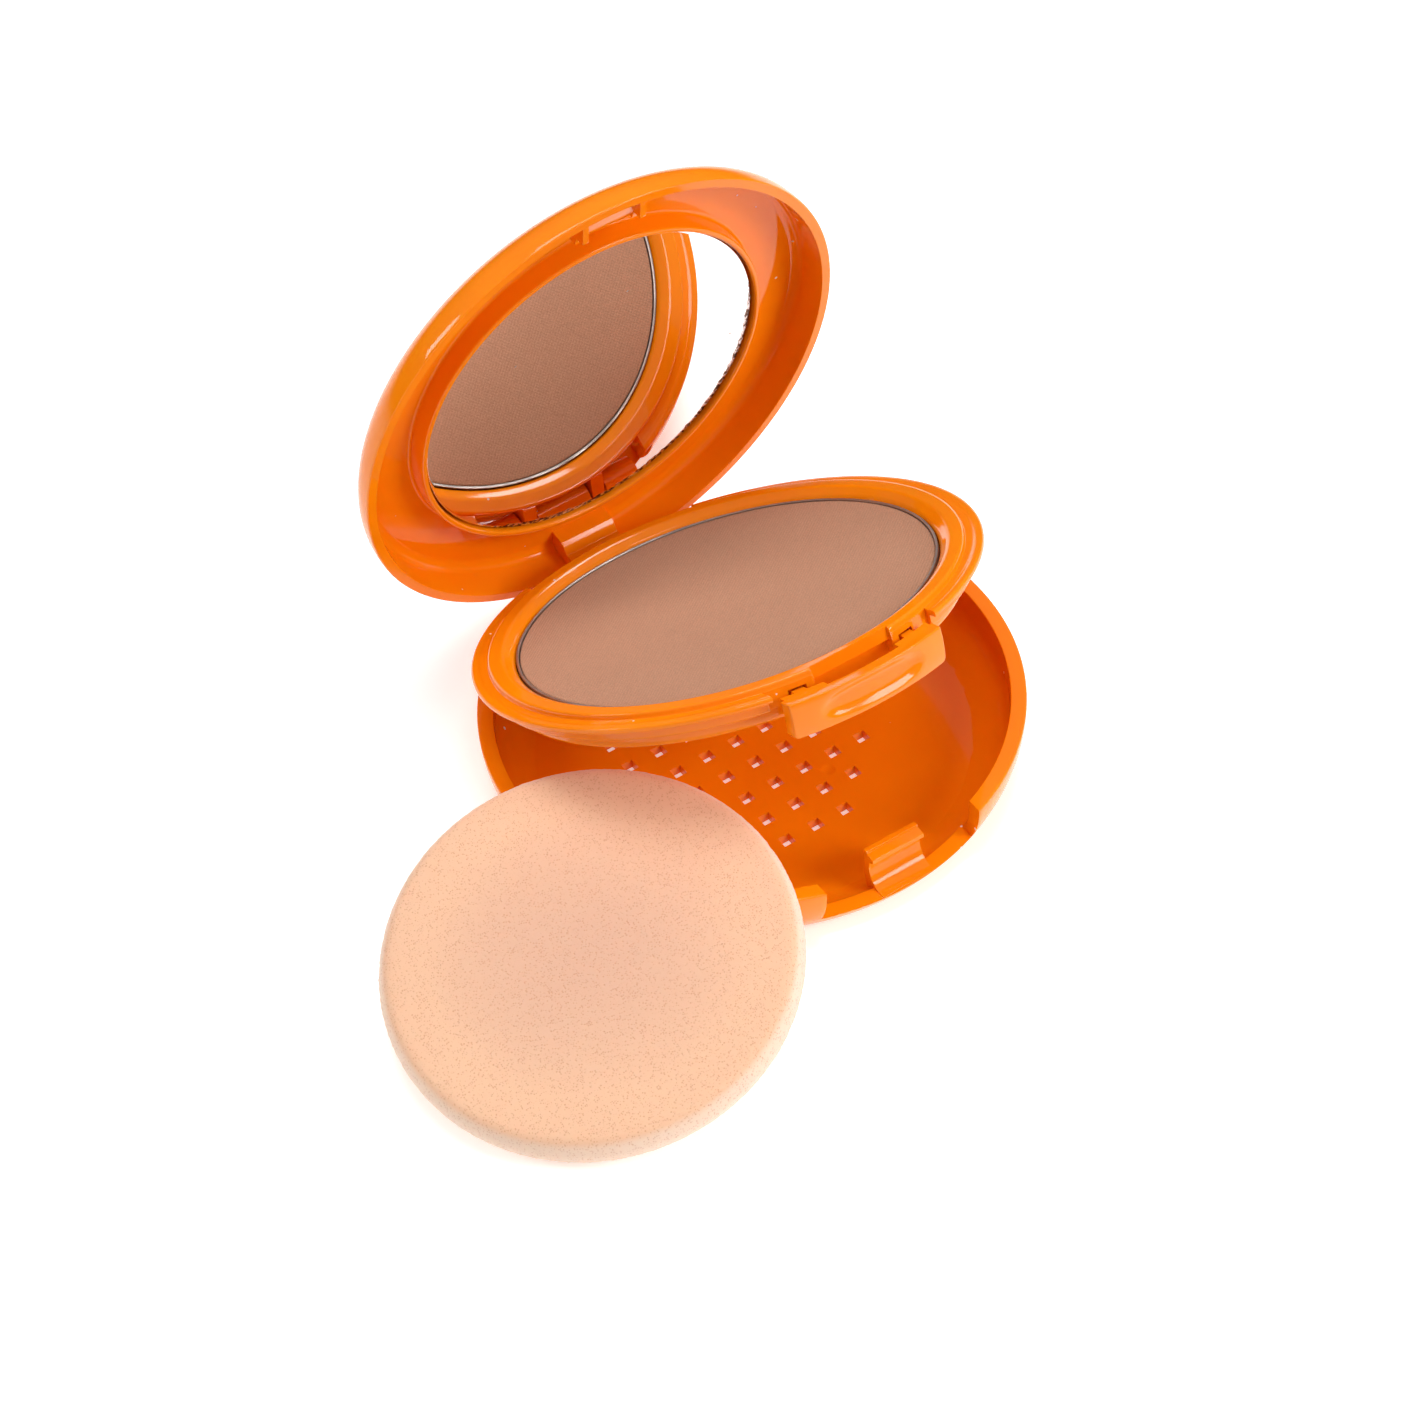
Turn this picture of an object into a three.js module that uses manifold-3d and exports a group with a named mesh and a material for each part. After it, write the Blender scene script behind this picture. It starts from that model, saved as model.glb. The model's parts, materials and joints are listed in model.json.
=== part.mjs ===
// A round two-deck powder compact with its latex sponge beside it.
// Millimetres, +Z up. The origin is the centre of the base's underside.
// The hinge is at the back (+Y) and its axis runs along X. Every shell is
// drawn as it sits in the closed case; the tray and the lid are then turned
// up about the hinge.
import * as THREE from "three";
import { mergeVertices } from "three/addons/utils/BufferGeometryUtils.js";
import Module from "manifold-3d";

const wasm = await Module();
wasm.setup();

// --- Driving dimensions -------------------------------------------------
const roundSteps = 72; // facets round each turned piece

// Opening angles in degrees
const trayOpen = 24.7; // tray from base
const lidOpen = 81.1; // lid from base

// Clearances
const stackGap = 0.25; // between pieces that lie on each other
const sideGap = 0.3; // round a piece that drops into another
const slideGap = 0.45; // round the push button
const rimGap = 0.15; // between the closed shells
const pinGap = 0.15; // round the hinge pin
const knuckleGap = 0.35; // between hinge knuckles, along the pin

// Base
const caseRadius = 37.5;
const baseHeight = 9.6;
const baseTuck = 3.7; // how far the side curves in at the foot
const rimWidth = 2.2;
const floorThickness = 1.5;
const floorInset = 5.1; // flat floor's edge, in from the rim's inside
const footInset = 0.8; // flat foot's edge, in from the side

// Vent holes in the base floor
const ventSide = 1.7;
const ventPitch = 4.78;
const ventReach = 4.2; // pattern radius, in pitches
const ventCentre = [-2.4, 0.8];

// Front of the base: button cut-out and latch tongue
const cutoutHalfWidth = 12.35;
const sillHeight = 3.2;
const tongueWidth = 8;
const tongueDrop = 0.6; // its top, below the rim
const tongueLip = 1; // how far the catch stands out
const latchInset = 6.1; // tongue's back, in from the case's outline

// Hinge
const hingeInset = 3; // pin centre, in from the case's outline
const hingeDrop = 3.9; // pin centre, below the base's rim
const knuckleRadius = 2.3;
const lidKnuckleWidth = 8.6;
const trayArmWidth = 2;
const baseBarrelWidth = 5.6;
const pinRadius = 0.8;

// Tray
const flangeInset = 1.7; // in from the case's outline
const flangeThickness = 0.9;
const skirtInset = 1.1; // in from the rim's inside
const skirtDepth = 1.9;
const dishWall = 2.6;
const trayDepth = 4.15; // flange underside to tray underside
const trayFloor = 1;
const collarWidth = 3.5; // raised ring round the pan
const collarHeight = 0.75;
const frontInset = 4.1; // tray's edge behind the button
const backInset = 1.2; // tray's edge, in from the pin centre
const tongueMargin = 2.1; // room in the tray beside the latch tongue

// Powder pan, powder and their adhesive
const panRadius = 29.5;
const panWall = 0.4;
const panHeight = 2.95;
const powderHeight = 2.2;
const padThickness = 0.25;
const panPadInset = 5.5; // pad's edge, in from the pan's

// Push button
const buttonThickness = 2;
const buttonLift = 0.9; // its foot, above the sill
const buttonBelowRim = 0.1;
const buttonCorner = 1.6;
const buttonTravel = 0.8;
const scoopDepth = 0.7;
const scoopHalfWidth = 8;
const scoopHalfHeight = 2.5;
const padWidth = 5.8;
const tabWidth = 1.8;
const tabMargin = 1.5; // tab, out from the room for the tongue

// Lid
const lidHeight = 7.2;
const lidWall = 1.5;
const lidTuck = 4.4; // how far the top edge curves in
const drumWall = 0.8;
const drumCrest = 2.4; // crest of the drum, in from the lid's rim
const pocketMargin = 0.9; // beside the tongue
const pocketRib = 0.9;

// Mirror
const mirrorRadius = 26.3;
const mirrorThickness = 1.6;
const mirrorPadInset = 4.3; // pad's edge, in from the mirror's

// Sponge, leaning on the base's rim
const spongeRadius = 27.9;
const spongeThickness = 6;
const spongeEdge = 1.4;
const spongeReach = 13.5; // its centre, out from the case's outline
const spongeHeading = 211.6; // degrees, where it lies round the base
const spongeLeanHeading = 218.5;
const spongeRest = 0.05; // daylight under its low edge

// --- Sizes worked out from the above ------------------------------------
const rimInner = caseRadius - rimWidth;
const hingeY = caseRadius - hingeInset;
const hingeHeight = baseHeight - hingeDrop;
const floorRadius = rimInner - floorInset;
const latchBack = caseRadius - latchInset;
const tongueTop = baseHeight - tongueDrop;
const flangeRadius = caseRadius - flangeInset;
const skirtRadius = rimInner - skirtInset;
const wellRadius = panRadius + sideGap;
const dishRadius = wellRadius + dishWall;
const collarRadius = wellRadius + collarWidth;
const frontEdge = caseRadius - frontInset;
const ringStepRadius = collarRadius - 1.2; // raised ring's edge over the latch
const backEdge = hingeY - backInset;
const trayNotchHalfWidth = tongueWidth / 2 + tongueMargin;
const pocketHalfWidth = tongueWidth / 2 + pocketMargin;
const drumRadius = mirrorRadius + sideGap + drumWall;
const flangeBottom = baseHeight + rimGap;
const flangeTop = flangeBottom + flangeThickness;
const trayBottom = flangeBottom - trayDepth;
const wellFloor = trayBottom + trayFloor;
const panBottom = wellFloor + padThickness + 2 * stackGap;
const lidRim = baseHeight + rimGap;
const buttonHalfWidth = cutoutHalfWidth - slideGap;
const buttonTop = baseHeight - buttonBelowRim;
const buttonFoot = sillHeight + buttonLift;
const buttonTab = [
  trayNotchHalfWidth + tabMargin,
  trayNotchHalfWidth + tabMargin + tabWidth,
];
const lidTop = lidRim + lidHeight;
const lidCeiling = lidTop - lidWall - 0.2;
const lidInner = flangeRadius + sideGap;
const mirrorBack = lidCeiling - padThickness - 2 * stackGap;
const armStart = lidKnuckleWidth / 2 + knuckleGap;
const barrelStart = armStart + trayArmWidth + knuckleGap;
const barrelEnd = barrelStart + baseBarrelWidth;

// --- Small toolbox ------------------------------------------------------
function cleanTriangles(geometry) {
  geometry.deleteAttribute("normal");
  geometry.deleteAttribute("uv");
  const merged = mergeVertices(geometry, 1e-4);
  const index = merged.index.array;
  const kept = [];
  for (let i = 0; i < index.length; i += 3) {
    const [a, b, c] = [index[i], index[i + 1], index[i + 2]];
    if (a !== b && b !== c && c !== a) kept.push(a, b, c);
  }
  merged.setIndex(kept);
  return merged;
}

// A closed geometry becomes a solid that can be cut and joined.
function solid(geometry) {
  const merged = cleanTriangles(geometry);
  const vertProperties = new Float32Array(merged.attributes.position.array);
  const triVerts = new Uint32Array(merged.index.array);
  return new wasm.Manifold(
    new wasm.Mesh({ numProp: 3, vertProperties, triVerts })
  );
}

function geometryOf(body) {
  const mesh = body.getMesh();
  const geometry = new THREE.BufferGeometry();
  const positions = new THREE.BufferAttribute(mesh.vertProperties, 3);
  geometry.setAttribute("position", positions);
  geometry.setIndex(new THREE.BufferAttribute(mesh.triVerts, 1));
  return geometry;
}

const vectors = (points) => points.map(([u, v]) => new THREE.Vector2(u, v));

// Turned solid: the profile is [radius, height], with the material on its
// left as it goes from the underside, round the outside, to the top.
function turned(profile) {
  const geometry = new THREE.LatheGeometry(vectors(profile), roundSteps);
  return solid(geometry.rotateX(Math.PI / 2));
}

// Bar with its outline drawn in Y and Z, running along X.
function barAlongX(outline, fromX, toX) {
  const shape = new THREE.Shape(vectors(outline));
  const options = { depth: toX - fromX, bevelEnabled: false };
  const geometry = new THREE.ExtrudeGeometry(shape, options);
  const turn = new THREE.Matrix4().makeBasis(
    new THREE.Vector3(0, 1, 0),
    new THREE.Vector3(0, 0, 1),
    new THREE.Vector3(1, 0, 0)
  );
  return solid(geometry.applyMatrix4(turn).translate(fromX, 0, 0));
}

// Box from its lowest to its highest corner.
function block([x0, y0, z0], [x1, y1, z1]) {
  const geometry = new THREE.BoxGeometry(x1 - x0, y1 - y0, z1 - z0);
  geometry.translate((x0 + x1) / 2, (y0 + y1) / 2, (z0 + z1) / 2);
  return solid(geometry);
}

function disc(radius, z0, z1) {
  return turned([[0, z0], [radius, z0], [radius, z1], [0, z1]]);
}

function ring(inner, outer, z0, z1) {
  const corners = [[inner, z0], [outer, z0], [outer, z1], [inner, z1]];
  return turned([...corners, [inner, z0]]);
}

function pinHole(fromX, toX, radius) {
  const geometry = new THREE.CylinderGeometry(radius, radius, toX - fromX, 20);
  geometry.rotateZ(Math.PI / 2);
  geometry.translate((fromX + toX) / 2, hingeY, hingeHeight);
  return solid(geometry);
}

// Points on the knuckle's circle, between two angles from +Y towards +Z.
function knuckleArc(fromDegrees, toDegrees, steps) {
  const points = [];
  for (let i = 0; i <= steps; i++) {
    const turn = fromDegrees + ((toDegrees - fromDegrees) * i) / steps;
    const angle = THREE.MathUtils.degToRad(turn);
    points.push([
      hingeY + knuckleRadius * Math.cos(angle),
      hingeHeight + knuckleRadius * Math.sin(angle),
    ]);
  }
  return points;
}

// The base's outer side, also followed by the button.
function sideRadius(z) {
  return caseRadius - baseTuck * Math.pow(Math.max(0, 1 - z / baseHeight), 2.2);
}

function sideProfile(z0, z1, steps, inset) {
  const points = [];
  for (let i = 0; i <= steps; i++) {
    const z = z0 + ((z1 - z0) * i) / steps;
    points.push([sideRadius(z) - inset, z]);
  }
  return points;
}

// --- Base ---------------------------------------------------------------
function baseBowl() {
  const rimRound = 0.3;
  const top = baseHeight - rimRound;
  return turned([
    [0, 0],
    [sideRadius(0) - footInset, 0],
    ...sideProfile(0.3, top, 8, 0),
    [caseRadius - rimRound, baseHeight],
    [rimInner, baseHeight],
    [rimInner - 0.1, baseHeight - 2.6],
    [rimInner - 0.9, baseHeight - 4.8],
    [rimInner - 2.2, floorThickness + 1.6],
    [rimInner - 3.6, floorThickness + 0.5],
    [floorRadius, floorThickness],
    [0, floorThickness],
  ]);
}

function ventHoles() {
  const reach = Math.floor(ventReach);
  let holes = null;
  for (let i = -reach; i <= reach; i++) {
    for (let j = -reach; j <= reach; j++) {
      if (Math.hypot(i, j) > ventReach) continue;
      const x = ventCentre[0] + i * ventPitch - ventSide / 2;
      const y = ventCentre[1] + j * ventPitch - ventSide / 2;
      const low = [x, y, -1];
      const high = [x + ventSide, y + ventSide, floorThickness + 1];
      const hole = block(low, high);
      holes = holes ? holes.add(hole) : hole;
    }
  }
  return holes;
}

// The springy latch tongue: its foot is on the sill, its catch faces out.
function latchTongue() {
  const back = -latchBack;
  const footY = -(sideRadius(sillHeight) - 0.5);
  const outline = [
    [footY, floorThickness - 0.3],
    [back - 0.8, floorThickness - 0.3],
    [back - 0.1, sillHeight + 1.2],
    [back, tongueTop - 2],
    [back, tongueTop - 0.3],
    [back - 0.3, tongueTop],
    [back - 1.2, tongueTop],
    [back - 1.1 - tongueLip, tongueTop - 0.6],
    [back - 1.1 - tongueLip, tongueTop - 1.4],
    [back - 1.1, tongueTop - 1.8],
    [back - 1, sillHeight + 2.6],
    [back - 1.3, sillHeight + 1.1],
    [back - 2.2, sillHeight + 0.2],
    [footY, sillHeight],
  ];
  return barAlongX(outline, -tongueWidth / 2, tongueWidth / 2);
}

function baseBarrel(side) {
  const from = side > 0 ? barrelStart : -barrelEnd;
  const to = side > 0 ? barrelEnd : -barrelStart;
  const lowest = floorThickness - 0.5;
  const foot = hingeY - knuckleRadius;
  const outline = [
    [foot - 1.6, lowest],
    [hingeY + 0.4, lowest],
    [hingeY + knuckleRadius, hingeHeight - 1.4],
    ...knuckleArc(0, 180, 8),
  ];
  const barrel = barAlongX(outline, from, to);
  const holeFrom = side > 0 ? from - 1 : from + 0.6;
  const holeTo = side > 0 ? to - 0.6 : to + 1;
  return barrel.subtract(pinHole(holeFrom, holeTo, pinRadius + pinGap));
}

// Half the width of the notch that lets the tray's skirt swing down at the back:
// past it, the skirt of the open tray is above the rim.
function backNotchHalfWidth() {
  const open = THREE.MathUtils.degToRad(trayOpen);
  const skirtRise = (flangeBottom - skirtDepth - hingeHeight) * Math.cos(open);
  const reach = (hingeDrop + sideGap - skirtRise) / Math.sin(open);
  const clearOf = hingeY - reach;
  return Math.sqrt(skirtRadius * skirtRadius - clearOf * clearOf);
}

function baseShell() {
  const high = baseHeight + 5;
  const outside = caseRadius + 5;
  const frontCut = block(
    [-cutoutHalfWidth, -outside, sillHeight],
    [cutoutHalfWidth, -floorRadius, high]
  );
  const notch = backNotchHalfWidth();
  const backCut = block(
    [-notch, floorRadius - 2, hingeHeight - knuckleRadius - 0.5],
    [notch, outside, high]
  );
  return baseBowl()
    .subtract(ventHoles())
    .subtract(frontCut)
    .subtract(backCut)
    .add(latchTongue())
    .add(baseBarrel(1))
    .add(baseBarrel(-1));
}

// --- Hinge pin ----------------------------------------------------------
function hingePin() {
  const end = barrelEnd - 0.9;
  return pinHole(-end, end, pinRadius);
}

// --- Tray ---------------------------------------------------------------
function trayDish() {
  const skirtBottom = flangeBottom - skirtDepth;
  const crest = flangeTop + collarHeight;
  return turned([
    [0, trayBottom],
    [dishRadius - 0.8, trayBottom],
    [dishRadius, trayBottom + 0.8],
    [dishRadius, skirtBottom],
    [skirtRadius, skirtBottom + 0.1],
    [skirtRadius, flangeBottom],
    [flangeRadius - 0.3, flangeBottom],
    [flangeRadius, flangeBottom + flangeThickness / 2],
    [flangeRadius - 0.3, flangeTop],
    [collarRadius, flangeTop],
    [collarRadius - 0.4, crest - 0.3],
    [collarRadius - 1.2, crest],
    [collarRadius - 1.9, crest - 0.1],
    [wellRadius + 0.4, flangeTop],
    [wellRadius, flangeTop - 0.5],
    [wellRadius, wellFloor],
    [0, wellFloor],
  ]);
}

// A wedge of material outside a radius, taken off the tray's edge.
function edgeCut(halfWidth, radius, towards) {
  const [near, far] = towards > 0 ? [0, caseRadius + 5] : [-caseRadius - 5, 0];
  const slab = block([-halfWidth, near, 0], [halfWidth, far, lidTop]);
  return slab.subtract(disc(radius, -1, lidTop + 1));
}

function trayArm(side) {
  const from = side > 0 ? armStart : -armStart - trayArmWidth;
  const to = from + trayArmWidth;
  const root = wellRadius + 0.6;
  const outline = [
    [root, trayBottom + 0.6],
    ...knuckleArc(250, 380, 7),
    [backEdge - 0.3, flangeBottom],
    [root, flangeBottom],
  ];
  const arm = barAlongX(outline, from, to);
  return arm.subtract(pinHole(from - 1, to + 1, pinRadius + pinGap));
}

function guideSlot(side) {
  const [near, far] = buttonTab;
  const from = side > 0 ? near - sideGap : -far - sideGap;
  const to = side > 0 ? far + sideGap : -near + sideGap;
  return block(
    [from, -caseRadius, flangeBottom - 1.6],
    [to, -latchBack + 0.5, flangeBottom - 0.1]
  );
}

function tray() {
  const lidRoom = block(
    [-barrelStart, hingeY - knuckleRadius - 0.6, 0],
    [barrelStart, caseRadius + 5, flangeBottom]
  );
  const barrelRoom = block(
    [-barrelEnd - 1.2, hingeY - knuckleRadius - 0.6, 0],
    [barrelEnd + 1.2, caseRadius + 5, flangeBottom]
  );
  // The latch tongue stands under the raised ring, which steps in over it
  const tongueRoom = block(
    [-trayNotchHalfWidth, -caseRadius - 5, 0],
    [trayNotchHalfWidth, -latchBack + 0.4, flangeBottom - 0.2]
  );
  const ringStep = block(
    [-trayNotchHalfWidth, -caseRadius - 5, 0],
    [trayNotchHalfWidth, -ringStepRadius, lidTop]
  );
  return trayDish()
    .subtract(edgeCut(cutoutHalfWidth + 0.4, frontEdge, -1))
    .subtract(edgeCut(barrelEnd + 1.2, backEdge, 1))
    .subtract(lidRoom)
    .subtract(barrelRoom)
    .subtract(tongueRoom)
    .subtract(ringStep)
    .subtract(guideSlot(1))
    .subtract(guideSlot(-1))
    .add(trayArm(1))
    .add(trayArm(-1));
}

// --- What the tray holds ------------------------------------------------
function panAdhesive() {
  const z = wellFloor + stackGap;
  return disc(panRadius - panPadInset, z, z + padThickness);
}

function powderPan() {
  return turned([
    [0, panBottom],
    [panRadius - 0.4, panBottom],
    [panRadius, panBottom + 0.4],
    [panRadius, panBottom + panHeight],
    [panRadius - panWall, panBottom + panHeight],
    [panRadius - panWall, panBottom + panWall],
    [0, panBottom + panWall],
  ]);
}

function pressedPowder() {
  const z = panBottom + panWall + stackGap;
  const radius = panRadius - panWall - 0.2;
  return turned([
    [0, z],
    [radius, z],
    [radius, z + powderHeight - 0.2],
    [radius - 0.3, z + powderHeight],
    [0, z + powderHeight],
  ]);
}

// --- Push button --------------------------------------------------------
function buttonPlate() {
  const outer = sideProfile(buttonFoot, buttonTop, 8, 0);
  const inner = sideProfile(buttonFoot, buttonTop, 8, buttonThickness);
  const band = turned([...outer, ...inner.reverse(), outer[0]]);
  const face = new THREE.Shape();
  const [w, r] = [buttonHalfWidth, buttonCorner];
  face.moveTo(-w, buttonTop);
  face.lineTo(-w, buttonFoot + r);
  face.quadraticCurveTo(-w, buttonFoot, -w + r, buttonFoot);
  face.lineTo(w - r, buttonFoot);
  face.quadraticCurveTo(w, buttonFoot, w, buttonFoot + r);
  face.lineTo(w, buttonTop);
  const options = { depth: caseRadius + 5, bevelEnabled: false, curveSegments: 5 };
  const front = new THREE.ExtrudeGeometry(face, options).rotateX(Math.PI / 2);
  return band.intersect(solid(front));
}

// The shallow hollow that a thumb finds.
function thumbScoop() {
  const middle = (buttonFoot + buttonTop) / 2;
  const face = sideRadius(middle);
  // The ball's size follows from the hollow's width and depth on the round face
  const sag = face - Math.sqrt(face * face - scoopHalfWidth * scoopHalfWidth);
  const hollow = scoopDepth + sag;
  const radius = (scoopHalfWidth * scoopHalfWidth) / (2 * hollow) + hollow / 2;
  const flatten = scoopHalfHeight / Math.sqrt(2 * radius * scoopDepth);
  const geometry = new THREE.SphereGeometry(radius, 72, 48);
  geometry.scale(1, 1, flatten);
  return solid(geometry.translate(0, scoopDepth - face - radius, middle));
}

function buttonPads() {
  const far = buttonHalfWidth - 0.5;
  const near = far - padWidth;
  const inner = frontEdge + buttonTravel + sideGap;
  const low = buttonTop - 1.6;
  const band = ring(inner, sideRadius(low) - 1, low, buttonTop);
  const left = block([-far, -caseRadius, 0], [-near, 0, lidTop]);
  const right = block([near, -caseRadius, 0], [far, 0, lidTop]);
  return band.intersect(left.add(right));
}

function buttonTabs() {
  const [near, far] = buttonTab;
  const back = -latchBack + 0.5 - sideGap - buttonTravel;
  const [z0, z1] = [flangeBottom - 1.3, flangeBottom - 0.4];
  const front = -caseRadius + 2.4;
  const left = block([-far, front, z0], [-near, back, z1]);
  return left.add(block([near, front, z0], [far, back, z1]));
}

function pushButton() {
  return buttonPlate().subtract(thumbScoop()).add(buttonPads()).add(buttonTabs());
}

// --- Lid ----------------------------------------------------------------
function lidSide(steps) {
  const points = [];
  for (let i = 0; i <= steps; i++) {
    const share = i / steps;
    const z = lidRim + 0.3 + (lidHeight - 0.7) * share;
    points.push([caseRadius + 0.1 - lidTuck * Math.pow(share, 2.6), z]);
  }
  return points;
}

const lidCrown = () => [
  [caseRadius - 0.2, lidRim],
  ...lidSide(8),
  [caseRadius - 7, lidTop],
  [0, lidTop + 0.2],
];

// The lid's outer shape, filled in.
function lidOutline() {
  return turned([[0, lidRim], ...lidCrown()]);
}

function lidBowl() {
  const crest = lidRim + drumCrest;
  return turned([
    [0, lidCeiling],
    [drumRadius - drumWall, lidCeiling],
    [drumRadius - drumWall, crest + 0.2],
    [drumRadius - 0.4, crest],
    [drumRadius, crest + 0.3],
    [drumRadius + 0.2, lidCeiling - 0.4],
    [drumRadius + 0.6, lidCeiling],
    [lidInner - 3.6, lidCeiling],
    [lidInner - 1.6, lidCeiling - 0.9],
    [lidInner - 0.5, lidCeiling - 2.6],
    [lidInner, lidRim],
    ...lidCrown(),
  ]);
}

function lidKnuckle() {
  const half = lidKnuckleWidth / 2;
  const front = backEdge + sideGap;
  const outline = [
    [front - 1.4, lidCeiling + 0.3],
    [front - 1.4, lidRim + 3.1],
    [front, lidRim + 1.6],
    [front, hingeHeight + knuckleRadius + 0.1],
    ...knuckleArc(150, 360, 10),
    [hingeY + knuckleRadius - 0.3, lidRim + 0.4],
    [hingeY + 1.6, lidCeiling - 1.4],
    [hingeY - 0.4, lidCeiling + 0.3],
  ];
  const knuckle = barAlongX(outline, -half, half);
  return knuckle.subtract(pinHole(-half - 1, half + 1, pinRadius + pinGap));
}

// Two ribs and a catch plate that take the tongue's catch.
function latchPocket() {
  const outer = -(lidInner + 0.4);
  const inner = -ringStepRadius - sideGap;
  const [low, high] = [lidRim + 0.5, lidCeiling + 0.3];
  const w = pocketHalfWidth;
  const left = block([-w, outer, low], [-w + pocketRib, inner, high]);
  const right = block([w - pocketRib, outer, low], [w, inner, high]);
  const plate = block([-w, inner - pocketRib, low], [w, inner, high]);
  const lip = block([-w, inner - 1.5, low], [w, inner, low + 0.6]);
  return left.add(right).add(plate).add(lip).intersect(lidOutline());
}

function lidShell() {
  return lidBowl().add(lidKnuckle()).add(latchPocket());
}

function mirrorAdhesive() {
  const z = mirrorBack + stackGap;
  return disc(mirrorRadius - mirrorPadInset, z, z + padThickness);
}

function mirror() {
  return disc(mirrorRadius, mirrorBack - mirrorThickness, mirrorBack);
}

// --- Sponge -------------------------------------------------------------
function spongePuff() {
  const [r, h, e] = [spongeRadius, spongeThickness / 2, spongeEdge];
  const side = [];
  for (let i = 0; i <= 4; i++) {
    const angle = (Math.PI / 2) * (i / 4);
    side.push([r - e + e * Math.sin(angle), -h + e - e * Math.cos(angle)]);
  }
  const top = side.map(([u, v]) => [u, -v]).reverse();
  return turned([[0, -h], ...side, ...top, [0, h]]);
}

// The sponge's upward direction when it leans by so many degrees.
function spongeNormal(lean) {
  const tilt = THREE.MathUtils.degToRad(lean);
  const heading = THREE.MathUtils.degToRad(spongeLeanHeading);
  const flat = Math.sin(tilt);
  return new THREE.Vector3(
    flat * Math.cos(heading),
    flat * Math.sin(heading),
    Math.cos(tilt)
  );
}

// Height of its centre when its low edge is on the table.
function heightOnTable(lean) {
  const tilt = THREE.MathUtils.degToRad(lean);
  const [h, e] = [spongeThickness / 2, spongeEdge];
  const reach = (spongeRadius - e) * Math.sin(tilt);
  return reach + (h - e) * Math.cos(tilt) + e + spongeRest;
}

// Height of its centre when its underside is on the base's rim.
function heightOnRim(lean, x, y) {
  const normal = spongeNormal(lean);
  let height = 0;
  for (let i = 0; i < 360; i++) {
    const angle = THREE.MathUtils.degToRad(i);
    const dx = caseRadius * Math.cos(angle) - x;
    const dy = caseRadius * Math.sin(angle) - y;
    if (Math.hypot(dx, dy) > spongeRadius) continue;
    const along = normal.x * dx + normal.y * dy;
    const lift = (along + spongeThickness / 2 + sideGap) / normal.z;
    height = Math.max(height, baseHeight + lift);
  }
  return height;
}

function placeSponge(mesh) {
  const heading = THREE.MathUtils.degToRad(spongeHeading);
  const reach = caseRadius + spongeReach;
  const [x, y] = [reach * Math.cos(heading), reach * Math.sin(heading)];
  // It leans just so far that it lies on the table and on the rim.
  let [low, high] = [0, 45];
  for (let i = 0; i < 40; i++) {
    const lean = (low + high) / 2;
    if (heightOnTable(lean) < heightOnRim(lean, x, y)) low = lean;
    else high = lean;
  }
  const up = new THREE.Vector3(0, 0, 1);
  mesh.quaternion.setFromUnitVectors(up, spongeNormal(high));
  mesh.position.set(x, y, heightOnTable(high));
}

// --- Assembly -----------------------------------------------------------
const plastic = { color: 0xf57400, roughness: 0.2, metalness: 0 };
const finishes = {
  plastic: new THREE.MeshStandardMaterial(plastic),
  steel: new THREE.MeshStandardMaterial({ color: 0xb8babd, roughness: 0.3, metalness: 1 }),
  tin: new THREE.MeshStandardMaterial({ color: 0xb4b2b4, roughness: 0.35, metalness: 1 }),
  powder: new THREE.MeshStandardMaterial({ color: 0xc68e6e, roughness: 1, metalness: 0 }),
  glass: new THREE.MeshStandardMaterial({ color: 0xf2f4f5, roughness: 0.02, metalness: 1 }),
  pad: new THREE.MeshStandardMaterial({ color: 0xe8e6df, roughness: 0.8, metalness: 0 }),
  foam: new THREE.MeshStandardMaterial({ color: 0xf5c096, roughness: 1, metalness: 0 }),
};

function named(name, body, finish) {
  const mesh = new THREE.Mesh(geometryOf(body), finishes[finish]);
  mesh.name = name;
  return mesh;
}

// A group whose pieces turn together about the hinge.
function hinged(degrees, meshes) {
  const pieces = new THREE.Group();
  pieces.position.set(0, -hingeY, -hingeHeight);
  pieces.add(...meshes);
  const swing = new THREE.Group();
  swing.position.set(0, hingeY, hingeHeight);
  swing.rotation.x = THREE.MathUtils.degToRad(-degrees);
  swing.add(pieces);
  return swing;
}

const compact = new THREE.Group();
compact.add(named("base_shell", baseShell(), "plastic"));
compact.add(named("hinge_pin", hingePin(), "steel"));
compact.add(
  hinged(trayOpen, [
    named("tray", tray(), "plastic"),
    named("pan_adhesive", panAdhesive(), "pad"),
    named("powder_pan", powderPan(), "tin"),
    named("pressed_powder", pressedPowder(), "powder"),
    named("push_button", pushButton(), "plastic"),
  ])
);
compact.add(
  hinged(lidOpen, [
    named("lid_shell", lidShell(), "plastic"),
    named("mirror_adhesive", mirrorAdhesive(), "pad"),
    named("mirror", mirror(), "glass"),
  ])
);
const sponge = named("sponge", spongePuff(), "foam");
placeSponge(sponge);
compact.add(sponge);

export default compact;
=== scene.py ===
"""A round two-deck powder compact with its latex sponge, built around a fixed frame.

Shapes are drawn in millimetres as they sit in the closed case: X runs along the
hinge, Y from the push button to the hinge, and Z up from the table. Each piece is
then turned about the hinge to its rest angle and brought to metres.
"""

import json
import math

import bmesh
import bpy
from bpy.props import FloatProperty, FloatVectorProperty, IntProperty, PointerProperty
from mathutils import Matrix, Vector, noise


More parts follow.
